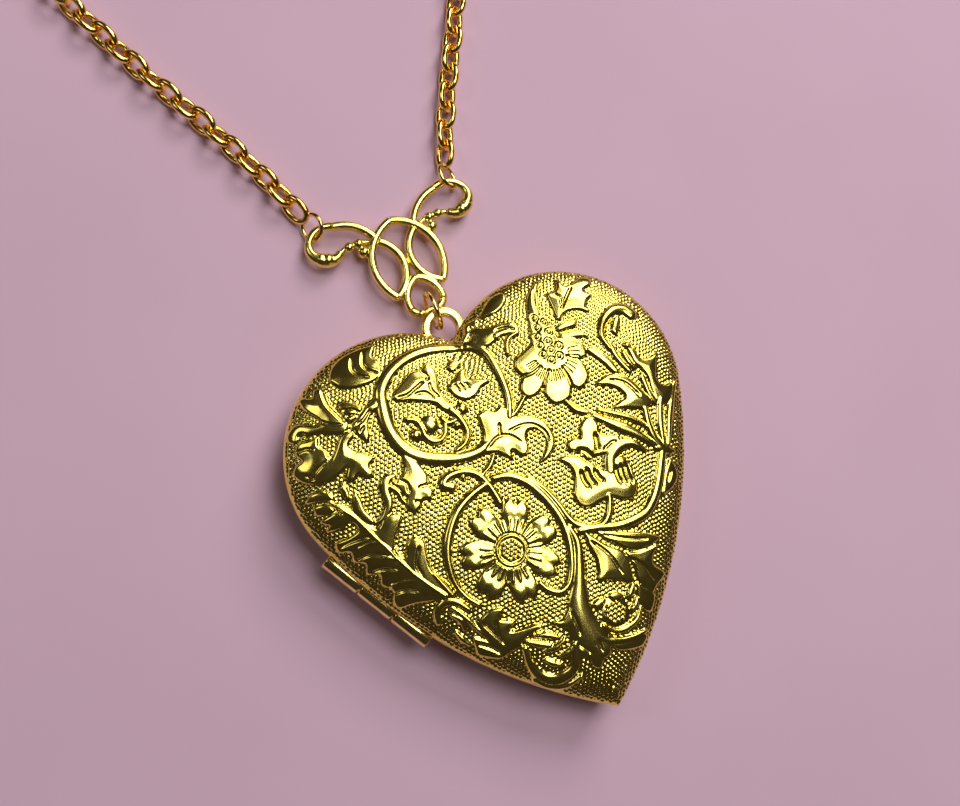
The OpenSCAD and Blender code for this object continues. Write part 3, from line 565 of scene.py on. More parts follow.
# Round bosses: centre and radius
BOSSES = [(-7.4, 30.6, 0.55), (-2.4, 31.2, 0.6), (-6.5, 25.1, 0.4), (-5.0, 25.3, 0.3), (2.7, 36.7, 0.42),
          (3.6, 36.2, 0.36), (15.1, 30.5, 0.4), (-3.5, 29.9, 0.3), (14.7, 19.5, 0.35),
          (-5.8, 31.0, 0.9)]
SEED_HEAD = [(6.2, 32.6), (6.4, 31.8), (7.2, 31.3), (8.2, 31.3), (8.9, 31.9), (9.1, 33.0), (9.0, 34.4),
             (8.8, 35.6), (8.6, 36.6), (8.8, 37.6), (9.3, 38.7), (10.0, 39.7), (8.9, 39.3), (7.8, 38.2),
             (7.2, 36.8), (6.8, 35.4), (6.3, 34.0)]
SEEDS = [(7.4, 32.0), (8.3, 32.1), (6.9, 32.8), (7.8, 32.9), (8.7, 33.0), (7.0, 33.7), (7.9, 33.8),
         (7.1, 34.6), (8.4, 34.6), (7.5, 35.4), (8.4, 35.6), (7.7, 36.3)]
SEED_R = 0.3
SEED_CUT = 0.16
RIGHT_FLOWER = (7.7, 32.7)
DAISY = (-3.7, 17.4)
DAISY_PETALS = 7
DAISY_R = 4.9
DAISY_TURN = 0.345
DAISY_DISC_R = 1.65
DAISY_RIM_R = 1.35
DAISY_CUP_R = 2.6
DAISY_RAYS = 26
DAISY_RAYS_R = 3.1
ROSE = (2.9, 8.2)
ROSE_R = 1.5
# Width and depth of the engraved lines
VEIN_CUT = (0.2, 0.2)
SLOT_CUT = (0.36, 0.3)
RAY_CUT = (0.16, 0.12)
# Rays engraved round the lower half of the right flower: count, first angle and step in degrees
RAYS = 18
RAY_START = 186
RAY_STEP = 9.6


def closed_line(points, per=6):
    """A smooth closed curve through the points."""
    p = np.asarray(points, float)
    wrapped = smooth_line(np.vstack([p[-2:], p, p[:2]]), per)
    return wrapped[2 * per:-2 * per]


def nearest(p, line):
    """Distance from each point to an open line, and how far along the line it is, from 0 to 1."""
    best = np.full(len(p), 1e9)
    where = np.zeros(len(p))
    along = lengths(line)
    for a, b, start, end in zip(line[:-1], line[1:], along[:-1], along[1:]):
        d = b - a
        t = np.clip(((p - a) @ d) / max(d @ d, 1e-12), 0, 1)
        dist = np.hypot(*(p - a - t[:, None] * d).T)
        closer = dist < best
        best[closer] = dist[closer]
        where[closer] = (start + (end - start) * t[closer]) / along[-1]
    return best, where


def inside(p, ring):
    hit = np.zeros(len(p), bool)
    for a, b in zip(ring, np.roll(ring, -1, 0)):
        crosses = (a[1] > p[:, 1]) != (b[1] > p[:, 1])
        if crosses.any():
            hit ^= crosses & (p[:, 0] < a[0] + (p[:, 1] - a[1]) * (b[0] - a[0]) / (b[1] - a[1] + 1e-12))
    return hit


def smoothstep(t):
    t = np.clip(t, 0, 1)
    return t * t * (3 - 2 * t)


def rounded(t):
    """Quarter round from 0 at the edge to 1 where t reaches 1."""
    t = np.clip(t, 0, 1)
    return np.sqrt(1 - (1 - t) ** 2)


class Relief:
    """Height of the embossing at a set of points."""

    def __init__(self, points):
        self.p = points
        self.h = np.zeros(len(points))
        self.cut = np.zeros(len(points))

    def near(self, line, margin):
        low, high = line.min(0) - margin, line.max(0) + margin
        return np.flatnonzero(((self.p > low) & (self.p < high)).all(1))

    def raise_to(self, ids, height):
        self.h[ids] = np.maximum(self.h[ids], height)

    def shape(self, points, height=MOTIF_H):
        ring = closed_line(points)
        ids = self.near(ring, 0)
        ids = ids[inside(self.p[ids], ring)]
        edge, _ = nearest(self.p[ids], np.vstack([ring, ring[:1]]))
        crown = CROWN_SHARE * smoothstep(edge / CROWN_W)
        self.raise_to(ids, height * ((1 - CROWN_SHARE) * rounded(edge / SHOULDER) + crown))

    def stem(self, points, widths, height=MOTIF_H):
        line = smooth_line(points, 6)
        ids = self.near(line, max(widths) / 2)
        dist, t = nearest(self.p[ids], line)
        width = np.interp(t, (0, 0.5, 1), widths)
        crown = rounded(1 - 2 * dist / width) * np.minimum(1, 0.55 + 0.6 * width)
        self.raise_to(ids, height * crown * (dist < width / 2))

    def boss(self, x, y, r, height=MOTIF_H):
        dist = np.hypot(*(self.p - (x, y)).T)
        ids = np.flatnonzero(dist < r)
        self.raise_to(ids, height * rounded(1 - dist[ids] / r))

    def groove(self, points, width, depth):
        line = smooth_line(points, 6)
        ids = self.near(line, width)
        dist, t = nearest(self.p[ids], line)
        taper = np.clip(6 * np.minimum(t, 1 - t) + 0.35, 0, 1)
        self.cut[ids] = np.maximum(self.cut[ids], depth * taper * np.exp(-(2 * dist / width) ** 2))

    def daisy(self):
        at = self.p - DAISY
        r, angle = np.hypot(*at.T), np.arctan2(at[:, 1], at[:, 0])
        ids = np.flatnonzero(r < DAISY_R)
        r, angle = r[ids], angle[ids]
        turn = (angle / (2 * math.pi) * DAISY_PETALS + DAISY_TURN) % 1 - 0.5
        rim = DAISY_R * (1 - 0.5 * np.abs(2 * turn) ** 3) - 0.45 * np.exp(-(turn / 0.09) ** 2)
        side = (0.5 - np.abs(turn)) * 2 * math.pi / DAISY_PETALS * r
        edge = np.minimum(rim - r, side * 1.3 + 0.05)
        petal = 0.75 * rounded(edge / 0.4) + 0.25 * smoothstep(edge / 1.2)
        cup = 0.3 * np.exp(-((r - DAISY_CUP_R) / 0.9) ** 2)
        ripple = np.maximum(0, np.cos(angle * DAISY_RAYS)) ** 2
        rays = 0.3 * ripple * smoothstep((DAISY_RAYS_R - r) / 0.4)
        self.raise_to(ids, MOTIF_H * (petal - cup * (edge > 0) + rays) * (edge > 0))
        disc = r < DAISY_DISC_R
        self.h[ids[disc]] = 0.35 * MOTIF_H
        rim_line = np.exp(-((r - DAISY_RIM_R) / 0.16) ** 2)
        self.raise_to(ids, MOTIF_H * 1.05 * rim_line * disc)
        self.seeds(DAISY, 1.1, 0.42, 0.2)

    def seeds(self, centre, reach, pitch, r, height=MOTIF_H):
        """Small beads in a hexagonal patch."""
        steps = int(reach / pitch) + 1
        for j in range(-steps, steps + 1):
            for i in range(-steps, steps + 1):
                x, y = (i + 0.5 * (j % 2)) * pitch, j * pitch * 0.87
                if math.hypot(x, y) < reach:
                    self.boss(centre[0] + x, centre[1] + y, r, height)

    def draw(self):
        for points in SHAPES:
            self.shape(points)
        for points, widths in STEMS:
            self.stem(points, widths)
        for points in RIDGES:
            self.stem(points, RIDGE_W, MOTIF_H * 1.45)
        for boss in BOSSES:
            self.boss(*boss)
        self.daisy()
        self.boss(*ROSE, ROSE_R, MOTIF_H * 0.6)
        self.seeds(ROSE, 1.1, 0.45, 0.22, MOTIF_H * 1.1)
        self.shape(SEED_HEAD, MOTIF_H * 1.15)
        for points in VEINS:
            self.groove(points, *VEIN_CUT)
        for points in SLOTS:
            self.groove(points, *SLOT_CUT)
        for k in range(RAYS):
            angle = math.radians(RAY_START + RAY_STEP * k)
            ray = np.array([[math.cos(angle), math.sin(angle)]])
            self.groove(RIGHT_FLOWER + ray * [[1.7], [2.2], [2.8]], *RAY_CUT)
        for x, y in SEEDS:
            dist = np.hypot(*(self.p - (x, y)).T)
            ring = SEED_CUT * np.exp(-((dist - SEED_R) / 0.09) ** 2)
            self.cut = np.maximum(self.cut, ring)


def bead_ground(p):
    """Beads in slightly uneven hexagonal rows: three sets of ripples, 60 degrees apart."""
    drift = 0.07 * np.sin(p @ [[0.9, 1.7], [2.3, -0.6]] + (0, 2))
    q = p + drift + 0.04 * np.sin(p[:, ::-1] * 5.3)
    wave = 4 * math.pi / (math.sqrt(3) * BEAD_PITCH)
    turns = np.radians((90, 210, 330))
    ripples = np.cos(q @ np.stack([np.cos(turns), np.sin(turns)]) * wave).sum(1) / 3
    return np.clip((ripples + 0.3) / 1.3, 0, 1) ** 0.9


def emboss(p, rows=None):
    """Height of the whole pattern over the bare ground; rows are the places beads are laid by."""
    relief = Relief(p)
    relief.draw()
    raised = np.maximum(relief.h - relief.cut * (relief.h > 0.05), 0)
    ground = BEAD_H * bead_ground(p if rows is None else rows) * (1 - smoothstep(relief.h / 0.1))
    return raised + ground


# ---------------------------------------------------------------- covers

HEART_W = 40
LOBE_C = np.array([8.2, 29.2])
LOBE_R = HEART_W / 2 - LOBE_C[0]
SIDE_R = 50
CLEFT_R = 0.3
CLEFT_C = np.array([0, LOBE_C[1] + math.sqrt((LOBE_R + CLEFT_R) ** 2 - LOBE_C[0] ** 2)])
TIP_TO_LOBE = math.hypot(*LOBE_C)
ALONG = (SIDE_R ** 2 - (SIDE_R - LOBE_R) ** 2 + TIP_TO_LOBE ** 2) / (2 * TIP_TO_LOBE)
ACROSS = math.sqrt(SIDE_R ** 2 - ALONG ** 2)
SIDE_C = (LOBE_C * ALONG + np.array([-LOBE_C[1], LOBE_C[0]]) * ACROSS) / TIP_TO_LOBE
JOIN_A = math.atan2(*(LOBE_C - SIDE_C)[::-1])
CLEFT_A = math.atan2(*(CLEFT_C - LOBE_C)[::-1])

RIM_H = 0.7
COVER_H = 3.7
DOME_W = 9.5
DOME_N = 2.1
SHEET_T = 0.5
SEAM_GAP = 0.06
RELIEF_ROOM = 0.5
STRIP_W = 0.6
OUTER_MESH = BEAD_PITCH / 4
INNER_MESH = 0.36
RING_POINTS = (300, 230, 14)
# Height above the wall over which the pattern comes in, and the steepest slope it is raised along
FADE_H = 0.35
STEEPEST = 40
# Share of the pattern's height on the reverse, and how much thinner the sheet is at the dome's top
INNER_RELIEF = 0.5
INNER_LIFT = 0.1

HINGE_Y = 18.3
HINGE_A = math.asin((HINGE_Y - SIDE_C[1]) / SIDE_R)
HINGE_MID = np.array([-SIDE_C[0] - SIDE_R * math.cos(HINGE_A), HINGE_Y, SEAM_Z])
HINGE_IN = np.array([math.cos(HINGE_A), -math.sin(HINGE_A)])
HINGE_ALONG = np.array([math.sin(HINGE_A), math.cos(HINGE_A)])
KNUCKLE_D = 1.6
KNUCKLE_LEN = 4
MIDDLE_LEN = 3.8
KNUCKLE_GAP = 0.12
PIN_D = 0.8
PIN_PLAY = 0.05
HINGE_LEN = 2 * KNUCKLE_LEN + MIDDLE_LEN + 2 * KNUCKLE_GAP
NOTCH_ROOM = 0.12
NOTCH_R = KNUCKLE_D / 2 + NOTCH_ROOM


def arc(centre, r, start, end, count):
    a = start + (end - start) * np.arange(count)[:, None] / count
    return centre + r * np.hstack([np.cos(a), np.sin(a)])


def heart_ring(inset, counts=RING_POINTS):
    """Closed outline moved inwards, counter-clockwise from the tip, the same count for every inset."""
    side, lobe, cleft = counts
    tip_a = -math.acos(-SIDE_C[0] / (SIDE_R - inset))
    half = np.vstack([arc(SIDE_C, SIDE_R - inset, tip_a, JOIN_A, side),
                      arc(LOBE_C, LOBE_R - inset, JOIN_A, CLEFT_A, lobe),
                      arc(CLEFT_C, CLEFT_R + inset, CLEFT_A - math.pi, -math.pi / 2, cleft),
                      [CLEFT_C - (0, CLEFT_R + inset)]])
    return np.vstack([half, half[-2:0:-1] * (-1, 1)])


def inward(p):
    """Distance from the outline, and the direction that leads away from it."""
    q = np.column_stack([np.abs(p[:, 0]), p[:, 1]])
    from_side = q - SIDE_C
    dist = SIDE_R - np.hypot(*from_side.T)
    lead = -from_side / np.hypot(*from_side.T)[:, None]
    from_lobe = q - LOBE_C
    angle = np.arctan2(from_lobe[:, 1], from_lobe[:, 0])
    reach = np.hypot(*from_lobe.T)
    on = (angle >= JOIN_A) & (angle <= CLEFT_A) & (LOBE_R - reach < dist)
    dist[on] = (LOBE_R - reach)[on]
    lead[on] = -(from_lobe / np.maximum(reach, 1e-9)[:, None])[on]
    from_cleft = q - CLEFT_C
    angle = np.arctan2(from_cleft[:, 1], from_cleft[:, 0])
    reach = np.hypot(*from_cleft.T)
    on = (angle <= CLEFT_A - math.pi) & (reach - CLEFT_R < dist)
    dist[on] = (reach - CLEFT_R)[on]
    lead[on] = (from_cleft / np.maximum(reach, 1e-9)[:, None])[on]
    lead[:, 0] *= np.where(p[:, 0] < 0, -1, 1)
    return dist, lead


def dome(dist, rise, width=DOME_W):
    """Height above the wall and the slope of the dome at a distance from the rim."""
    u = 1 - np.clip(dist / width, 0, 1)
    body = np.maximum(1 - u ** DOME_N, 1e-6)
    slope = rise / width * u ** (DOME_N - 1) * body ** (1 / DOME_N - 1)
    return rise * body ** (1 / DOME_N), slope


def lattice(inset, pitch):
    """Evenly packed points inside the outline moved inwards."""
    row_h = pitch * math.sqrt(3) / 2
    j, i = np.mgrid[0:int(42 / row_h), 0:int(41 / pitch)]
    columns = round(20.5 / pitch)
    p = np.column_stack([((i + 0.5 * (j % 2) - columns) * pitch).ravel(), (j * row_h).ravel()])
    dist, _ = inward(p)
    return p[dist > inset + 0.55 * pitch]


def filled(ring, points):
    """Triangles that fill a ring with the points inside it: (xy, faces); the ring comes first."""
    n = len(ring)
    flat_points = [Vector(p) for p in np.vstack([ring, points])]
    edges = [(i, (i + 1) % n) for i in range(n)]
    xy, _, faces, *_ = delaunay_2d_cdt(flat_points, edges, [], 1, 1e-7, False)
    xy, faces = np.array(xy), np.array(faces)
    within, _ = inward(xy[faces].mean(1))
    edge, _ = inward(ring[:1] * 0.5 + ring[1:2] * 0.5)
    return xy, faces[within > edge[0] - 0.001].tolist()


def strip_insets(rise, step):
    """Insets from the rim to STRIP_W that are evenly spaced along the dome's slope."""
    fine = np.linspace(0, 1, 4000) ** 3 * STRIP_W
    z, _ = dome(fine, rise)
    run = np.concatenate([[0], np.cumsum(np.hypot(np.diff(fine), np.diff(z)))])
    return np.interp(np.linspace(0, run[-1], int(run[-1] / step) + 2), run, fine)


def hinge_frame(p):
    """Points in the hinge's frame: across the hinge into the heart, along it, up."""
    q = p - HINGE_MID
    return np.column_stack([q[:, :2] @ HINGE_IN, q[:, :2] @ HINGE_ALONG, q[:, 2]])


def from_hinge(p):
    p = np.asarray(p, float)
    return np.column_stack([p[:, :1] * HINGE_IN + p[:, 1:2] * HINGE_ALONG, p[:, 2]]) + HINGE_MID


def clear_hinge(p, room):
    """Push points out of the round notch for the knuckles."""
    q = hinge_frame(p)
    r = np.hypot(q[:, 0], q[:, 2])
    caught = (r < room) & (np.abs(q[:, 1]) < HINGE_LEN / 2 + NOTCH_ROOM)
    q[caught, 0] = np.sqrt(room ** 2 - q[caught, 2] ** 2)
    return np.where(caught[:, None], from_hinge(q), p)


def cover_skin(xy, rise, inset, embossing):
    """Points of a domed skin over xy, raised along its slope by the embossing."""
    dist, lead = inward(xy)
    z, slope = dome(np.maximum(dist - inset, 0), rise, DOME_W - inset)
    raised = embossing(xy, dist, lead) * smoothstep(z / FADE_H)
    slope = np.minimum(slope, STEEPEST)
    size = np.hypot(1, slope)
    xy = xy - lead * (raised * slope / size)[:, None]
    return np.column_stack([xy, SEAM_Z + RIM_H + z + raised / size])


EDGE_PULL = 0.16
PLAIN_EDGE = 0.13


def outer_embossing(xy, dist, lead):
    """The whole pattern, faded to a plain band along the edge."""
    run_in = DOME_W * EDGE_PULL * (1 - np.clip(dist / DOME_W, 0, 1)) ** 2
    return emboss(xy, xy - lead * run_in[:, None]) * smoothstep((dist - PLAIN_EDGE) / PLAIN_EDGE)


def inner_embossing(xy, dist, lead):
    """The raised shapes alone, without beads or cuts; same arguments as outer_embossing."""
    relief = Relief(xy)
    relief.draw()
    return INNER_RELIEF * relief.h


def half_shell(insets, base_inset, pitch, rise, embossing, wall_rows, floor_z):
    """One side of a cover: wall rings from floor_z up, strips over the shoulder, then the dome."""
    rings = [heart_ring(s) for s in insets]
    n = len(rings[0])
    cap_xy, cap_faces = filled(rings[-1], lattice(insets[-1], pitch))
    top = cover_skin(np.vstack(rings[:-1] + [cap_xy]), rise, base_inset, embossing)
    wall_z = np.linspace(floor_z, SEAM_Z + RIM_H, wall_rows, endpoint=False)
    wall = np.vstack([flat(rings[0], z) for z in wall_z])
    rows = wall_rows + len(rings)
    faces = grid_faces(rows, n)
    start = (rows - 1) * n
    faces += [tuple(i + start for i in f) for f in cap_faces]
    return np.vstack([wall, top]), faces, n


def cover_mesh():
    """The front cover as a closed sheet; the back cover is its mirror image."""
    floor_z = SEAM_Z + SEAM_GAP / 2
    rise = COVER_H - RIM_H - RELIEF_ROOM
    outer, outer_faces, n = half_shell(strip_insets(rise, OUTER_MESH), 0, OUTER_MESH, rise,
                                       outer_embossing, 4, floor_z)
    inner_insets = SHEET_T + strip_insets(rise, INNER_MESH)
    inner, inner_faces, _ = half_shell(inner_insets, SHEET_T, INNER_MESH, rise - SHEET_T + INNER_LIFT,
                                       inner_embossing, 2, floor_z)
    outer = clear_hinge(outer, NOTCH_R)
    inner = clear_hinge(inner, NOTCH_R + NOTCH_ROOM)
    shift = len(outer)
    faces = outer_faces + [tuple(i + shift for i in f[::-1]) for f in inner_faces]
    faces += [(j, shift + j, shift + (j + 1) % n, (j + 1) % n) for j in range(n)]
    return np.vstack([outer, inner]), faces


cover_verts, cover_faces = cover_mesh()
add_piece("embossed_cover_front", cover_verts, cover_faces, COVER_GOLD, "locket_front", "cover_gold",
          ["front_cover"])
mirrored = cover_verts * (1, 1, -1) + (0, 0, 2 * SEAM_Z)
add_piece("embossed_cover_back", mirrored, [f[::-1] for f in cover_faces], COVER_GOLD, "locket_back",
          "cover_gold", ["back_cover"])

# ---------------------------------------------------------------- inside the locket


def band(inset, width, low, high, bevel=0.06, skip=None):
    """Heart-shaped band with softened edges; points for which skip is true are left out."""
    profile = [(0, low + bevel), (bevel, low), (width - bevel, low), (width, low + bevel),
               (width, high - bevel), (width - bevel, high), (bevel, high), (0, high - bevel)]
    counts = (60, 46, 4)
    rings = np.stack([flat(heart_ring(inset + s, counts), z) for s, z in profile], 1)
    if skip is None:
        return rings.reshape(-1, 3), [f[::-1] for f in grid_faces(len(rings), len(profile), True)]
    kept = ~skip(rings.mean(1))
    first = np.flatnonzero(kept & ~np.roll(kept, 1))
    parts = []
    for start in first:
        run = []
        k = start
        while kept[k % len(rings)]:
            run.append(rings[k % len(rings)])
            k += 1
        m = len(profile)
        faces = [f[::-1] for f in grid_faces(len(run), m)]
        faces += [tuple(range(m)), tuple(range(len(run) * m - 1, (len(run) - 1) * m - 1, -1))]
        parts.append((np.vstack(run), faces))
    return join(parts)


BAIL_Y = 39.4
BAIL_R = 2.15
BAIL_HOLE_R = 1.3
BAIL_T = 0.95
BAIL_TOP_Z = SEAM_Z - BAIL_BELOW_SEAM
LIP_INSET = 0.65
LIP_T = 0.3


def by_hinge_or_bail(p):
    q = hinge_frame(p)
    near_hinge = (np.abs(q[:, 0]) < 2.3) & (np.abs(q[:, 1]) < HINGE_LEN / 2 + 0.5)
    return near_hinge | (np.hypot(p[:, 0], p[:, 1] - BAIL_Y) < BAIL_R + 0.1)


add_piece("snap_lip", *band(LIP_INSET, LIP_T, SEAM_Z - 1.45, SEAM_Z + 0.8, 0.08, by_hinge_or_bail),
          INNER_GOLD, "locket_back", "inner_gold", ["closing_lip"])
add_piece("photo_rim_front", *band(LIP_INSET + 0.05, 2, SEAM_Z + 1, SEAM_Z + 1.4), INNER_GOLD,
          "locket_front", "inner_gold", ["photo_frame_front"])
add_piece("photo_rim_back", *band(LIP_INSET + LIP_T, 2, SEAM_Z - 0.9, SEAM_Z - 0.5), INNER_GOLD,
          "locket_back", "inner_gold", ["photo_frame_back"])

# ---------------------------------------------------------------- hinge


def lathe(profile, sides=48):
    """A solid turned round the Y axis from (radius, y) pairs; the profile may be a closed loop."""
    profile = np.asarray(profile, float)
    a = np.arange(sides) * 2 * math.pi / sides
    rings = np.stack([profile[:, :1] * np.cos(a), np.repeat(profile[:, 1:], sides, 1),
                      profile[:, :1] * np.sin(a)], 2)
    return rings.reshape(-1, 3), sides


def tube_barrel(outer_r, inner_r, length, bevel=0.12):
    """Tube round the Y axis with rounded ends."""
    half = length / 2
    profile = [(outer_r, -half + bevel), (outer_r, half - bevel), (outer_r - 0.3 * bevel, half - 0.3 * bevel),
               (outer_r - bevel, half), (inner_r, half), (inner_r, -half), (outer_r - bevel, -half),
               (outer_r - 0.3 * bevel, -half + 0.3 * bevel)]
    verts, sides = lathe(profile)
    return verts, [f[::-1] for f in grid_faces(len(profile), sides, True)]


def rod(r, length, bevel=0.06):
    half = length / 2
    verts, sides = lathe([(r - bevel, -half), (r, -half + bevel), (r, half - bevel), (r - bevel, half)])
    faces = [f[::-1] for f in grid_faces(4, sides)]
    return verts, faces + [tuple(range(sides))[::-1], tuple(range(3 * sides, 4 * sides))]


def box(low, high):
    (a, b, c), (d, e, f) = low, high
    verts = [(a, b, c), (d, b, c), (d, e, c), (a, e, c), (a, b, f), (d, b, f), (d, e, f), (a, e, f)]
    return np.array(verts), [(3, 2, 1, 0), (4, 5, 6, 7), (0, 1, 5, 4), (1, 2, 6, 5), (2, 3, 7, 6),
                             (3, 0, 4, 7)]


LEAF_IN = 0.45
LEAF_T = 0.35


def knuckle(name, body, middle, length, bore_r, low, high, node):
    barrel = tube_barrel(KNUCKLE_D / 2, bore_r, length)
    leaf = box((LEAF_IN, -length / 2 + 0.03, low), (LEAF_IN + LEAF_T, length / 2 - 0.03, high))
    verts, faces = join([barrel, leaf])
    add_piece(name, from_hinge(verts + (0, middle, 0)), faces, HINGE_GOLD, body, "hinge_gold", [node])


OUTER_MID = (MIDDLE_LEN + KNUCKLE_LEN) / 2 + KNUCKLE_GAP
knuckle("barrel_upper", "locket_back", OUTER_MID, KNUCKLE_LEN, PIN_D / 2, -1.8, 0, "hinge_knuckle_upper")
knuckle("barrel_lower", "locket_back", -OUTER_MID, KNUCKLE_LEN, PIN_D / 2, -1.8, 0, "hinge_knuckle_lower")
knuckle("barrel_middle", "locket_front", 0, MIDDLE_LEN, PIN_D / 2 + PIN_PLAY, 0, 0.95,
        "hinge_knuckle_middle")
pin_verts, pin_faces = rod(PIN_D / 2, HINGE_LEN)
add_piece("hinge_wire", from_hinge(pin_verts), pin_faces, HINGE_GOLD, "locket_back", "hinge_gold",
          ["hinge_pin"])

# ---------------------------------------------------------------- bail and rings


def flat_ring(outer_r, inner_r, height, bevel):
    """Flat ring in the XY plane, centred, with softened edges."""
    half = height / 2
    profile = [(outer_r, -half + bevel), (outer_r, half - bevel), (outer_r - 0.3 * bevel, half - 0.3 * bevel),
               (outer_r - bevel, half), (inner_r + bevel, half), (inner_r + 0.3 * bevel, half - 0.3 * bevel),
               (inner_r, half - bevel), (inner_r, -half + bevel), (inner_r + bevel, -half),
               (outer_r - bevel, -half)]
    verts, sides = lathe(profile, 72)
    return verts[:, [0, 2, 1]], grid_faces(len(profile), sides, True)


bail_verts, bail_faces = flat_ring(BAIL_R, BAIL_HOLE_R, BAIL_T, 0.14)
add_piece("bail_eye", bail_verts + (0, BAIL_Y, BAIL_TOP_Z - BAIL_T / 2), bail_faces, BAIL_GOLD,
          "locket_back", "bail_gold", ["bail_loop"])
CONNECTOR_Z = 1.35
WING_TILT = 50
add_piece("bail_jump_ring", *wire_ring(4.2, 0.5, (0, 90, 0), (0, 41.55, 2.3)), RING_GOLD, "bail_ring",
          "ring_gold", ["bail_ring"])
for side, name in ((-1, "left"), (1, "right")):
    verts, faces = wire_ring(3, 0.45, (0, side * WING_TILT, 0),
                             (side * WING_RING_X, WING_RING_Y, CONNECTOR_Z))
    add_piece(f"wing_jump_ring_{name}", verts, faces, RING_GOLD, f"wing_ring_{name}", "ring_gold",
              [f"wing_ring_{name}"])

# ---------------------------------------------------------------- connector


def arc3(p, m, q, steps=14):
    """Points of the circle's arc from p through m to q."""
    p, m, q = (complex(*v) for v in (p, m, q))
    w = (q - p) / (m - p)
    centre = p + (m - p) * (w - abs(w) ** 2) / (2j * w.imag)
    start, mid, end = (math.atan2((v - centre).imag, (v - centre).real) for v in (p, m, q))
    to_mid, to_end = (mid - start) % (2 * math.pi), (end - start) % (2 * math.pi)
    turn = to_end if to_mid < to_end else to_end - 2 * math.pi
    a = start + turn * np.arange(steps + 1) / steps
    r = abs(p - centre)
    return np.stack([centre.real + r * np.cos(a), centre.imag + r * np.sin(a)], 1)


def bar(points, width=0.88, height=1.2, square=2.5):
    return sweep(flat(points, 0), section(20, width, height, square))


def round_bar(points, d_start, d_end):
    sizes = np.linspace(d_start, d_end, len(points))
    return sweep(flat(points, 0), section(18, 1, 1), sizes)


def bead(x, y, d, z=0.0, count=14):
    """Round bead from rings between two poles."""
    a = np.linspace(0.02, math.pi - 0.02, count)
    verts, sides = lathe(np.stack([d / 2 * np.sin(a), -d / 2 * np.cos(a)], 1), 20)
    faces = [f[::-1] for f in grid_faces(count, sides)]
    faces += [tuple(range(sides))[::-1], tuple(range((count - 1) * sides, count * sides))]
    return verts[:, [0, 2, 1]] * (1, 1, -1) + (x, y, z), faces


def mirrored_x(part):
    verts, faces = part
    return verts * (-1, 1, 1), [f[::-1] for f in faces]


def cast(name, parts, material, body, node, grain=0.055, rounds=5):
    """Parts melted into one body with soft corners, as a casting has."""
    verts, faces = join(parts)
    piece = add_piece(name, verts, faces, material)
    remesh = piece.modifiers.new("melt", "REMESH")
    remesh.mode = "VOXEL"
    remesh.voxel_size = grain * MM
    soften = piece.modifiers.new("soften", "SMOOTH")
    soften.iterations = rounds
    melted = bpy.data.meshes.new_from_object(piece.evaluated_get(bpy.context.evaluated_depsgraph_get()))
    piece.modifiers.clear()
    piece.data = melted
    melted.polygons.foreach_set("use_smooth", [True] * len(melted.polygons))
    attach(piece, body)
    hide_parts(node)


right_half = [bar(arc3((0, 51.8), (3.1, 49.2), (2.5, 44.3))),
              bar(arc3((1.9, 50.2), (0.45, 47.2), (2.4, 44.3))),
              bar(arc3((0, 45.5), (1.3, 44.5), (1.75, 42.6)), 0.86),
              round_bar(arc3((1.75, 42.8), (1.3, 42.1), (0, 42)), 0.95, 0.8),
              bead(1.0, 41.9, 0.98), bead(1.72, 42.7, 0.98),
              bar(arc3((2.1, 50.7), (3.4, 52.4), (5.6, 53.3)), 0.86),
              round_bar(arc3((5.3, 53.22), (7.4, 53.4), (8.4, 52.5)), 0.86, 0.82),
              round_bar(arc3((8.4, 52.5), (8.55, 51.5), (7.9, 50.6)), 0.82, 1.35),
              round_bar(arc3((8.0, 50.7), (7.0, 50.15), (5.8, 50.6)), 1.5, 0.9),
              bead(7.3, 50.3, 1.5),
              round_bar(arc3((5.8, 50.6), (4.2, 50.85), (2.5, 50.4)), 0.55, 0.6),
              bead(4.85, 50.75, 1.1), bead(3.85, 50.75, 1.05), bead(3.7, 49.75, 1.25),
              round_bar(arc3((3.8, 49.85), (3.1, 49.9), (2.4, 50.1)), 0.6, 0.55),
              bead(0, 51.7, 0.7), bead(2.45, 44.3, 0.72)]
connector_parts = [(verts + (0, 0, CONNECTOR_Z), faces)
                   for verts, faces in right_half + [mirrored_x(part) for part in right_half]]
cast("filigree_connector", connector_parts, CONNECTOR_GOLD, "connector", "connector")

# ---------------------------------------------------------------- end ring and clasp

add_piece("end_jump_ring", *wire_ring(4, 0.6, (0, 0, 137), (-19.8, 110.5, 0.35), 3), CHAIN_GOLD, "end_ring",
          "chain_gold", ["end_ring"])

CLASP_EYE = (12.2, 100.1)
CLASP_TURN = -153
CLASP_T = 2.2
LEVER_PIVOT = np.array([1.55, 2.6])
HOOK_Y = 5.3
# Centreline of the two cheeks that hold the lever between them
CHEEK = [(0.3, 1.0), (0.8, 1.7), (1.45, 2.3), (1.6, 2.75)]
CHEEK_Z = 0.72


def at_clasp(part):
    verts, faces = part
    return turned(verts, (0, 0, CLASP_TURN), (*CLASP_EYE, CLASP_T / 2)), faces


def on_circle(x, y, r, start, end, steps=40):
    a = np.radians(np.linspace(start, end, steps))
    return np.stack([x + r * np.cos(a), y + r * np.sin(a)], 1)


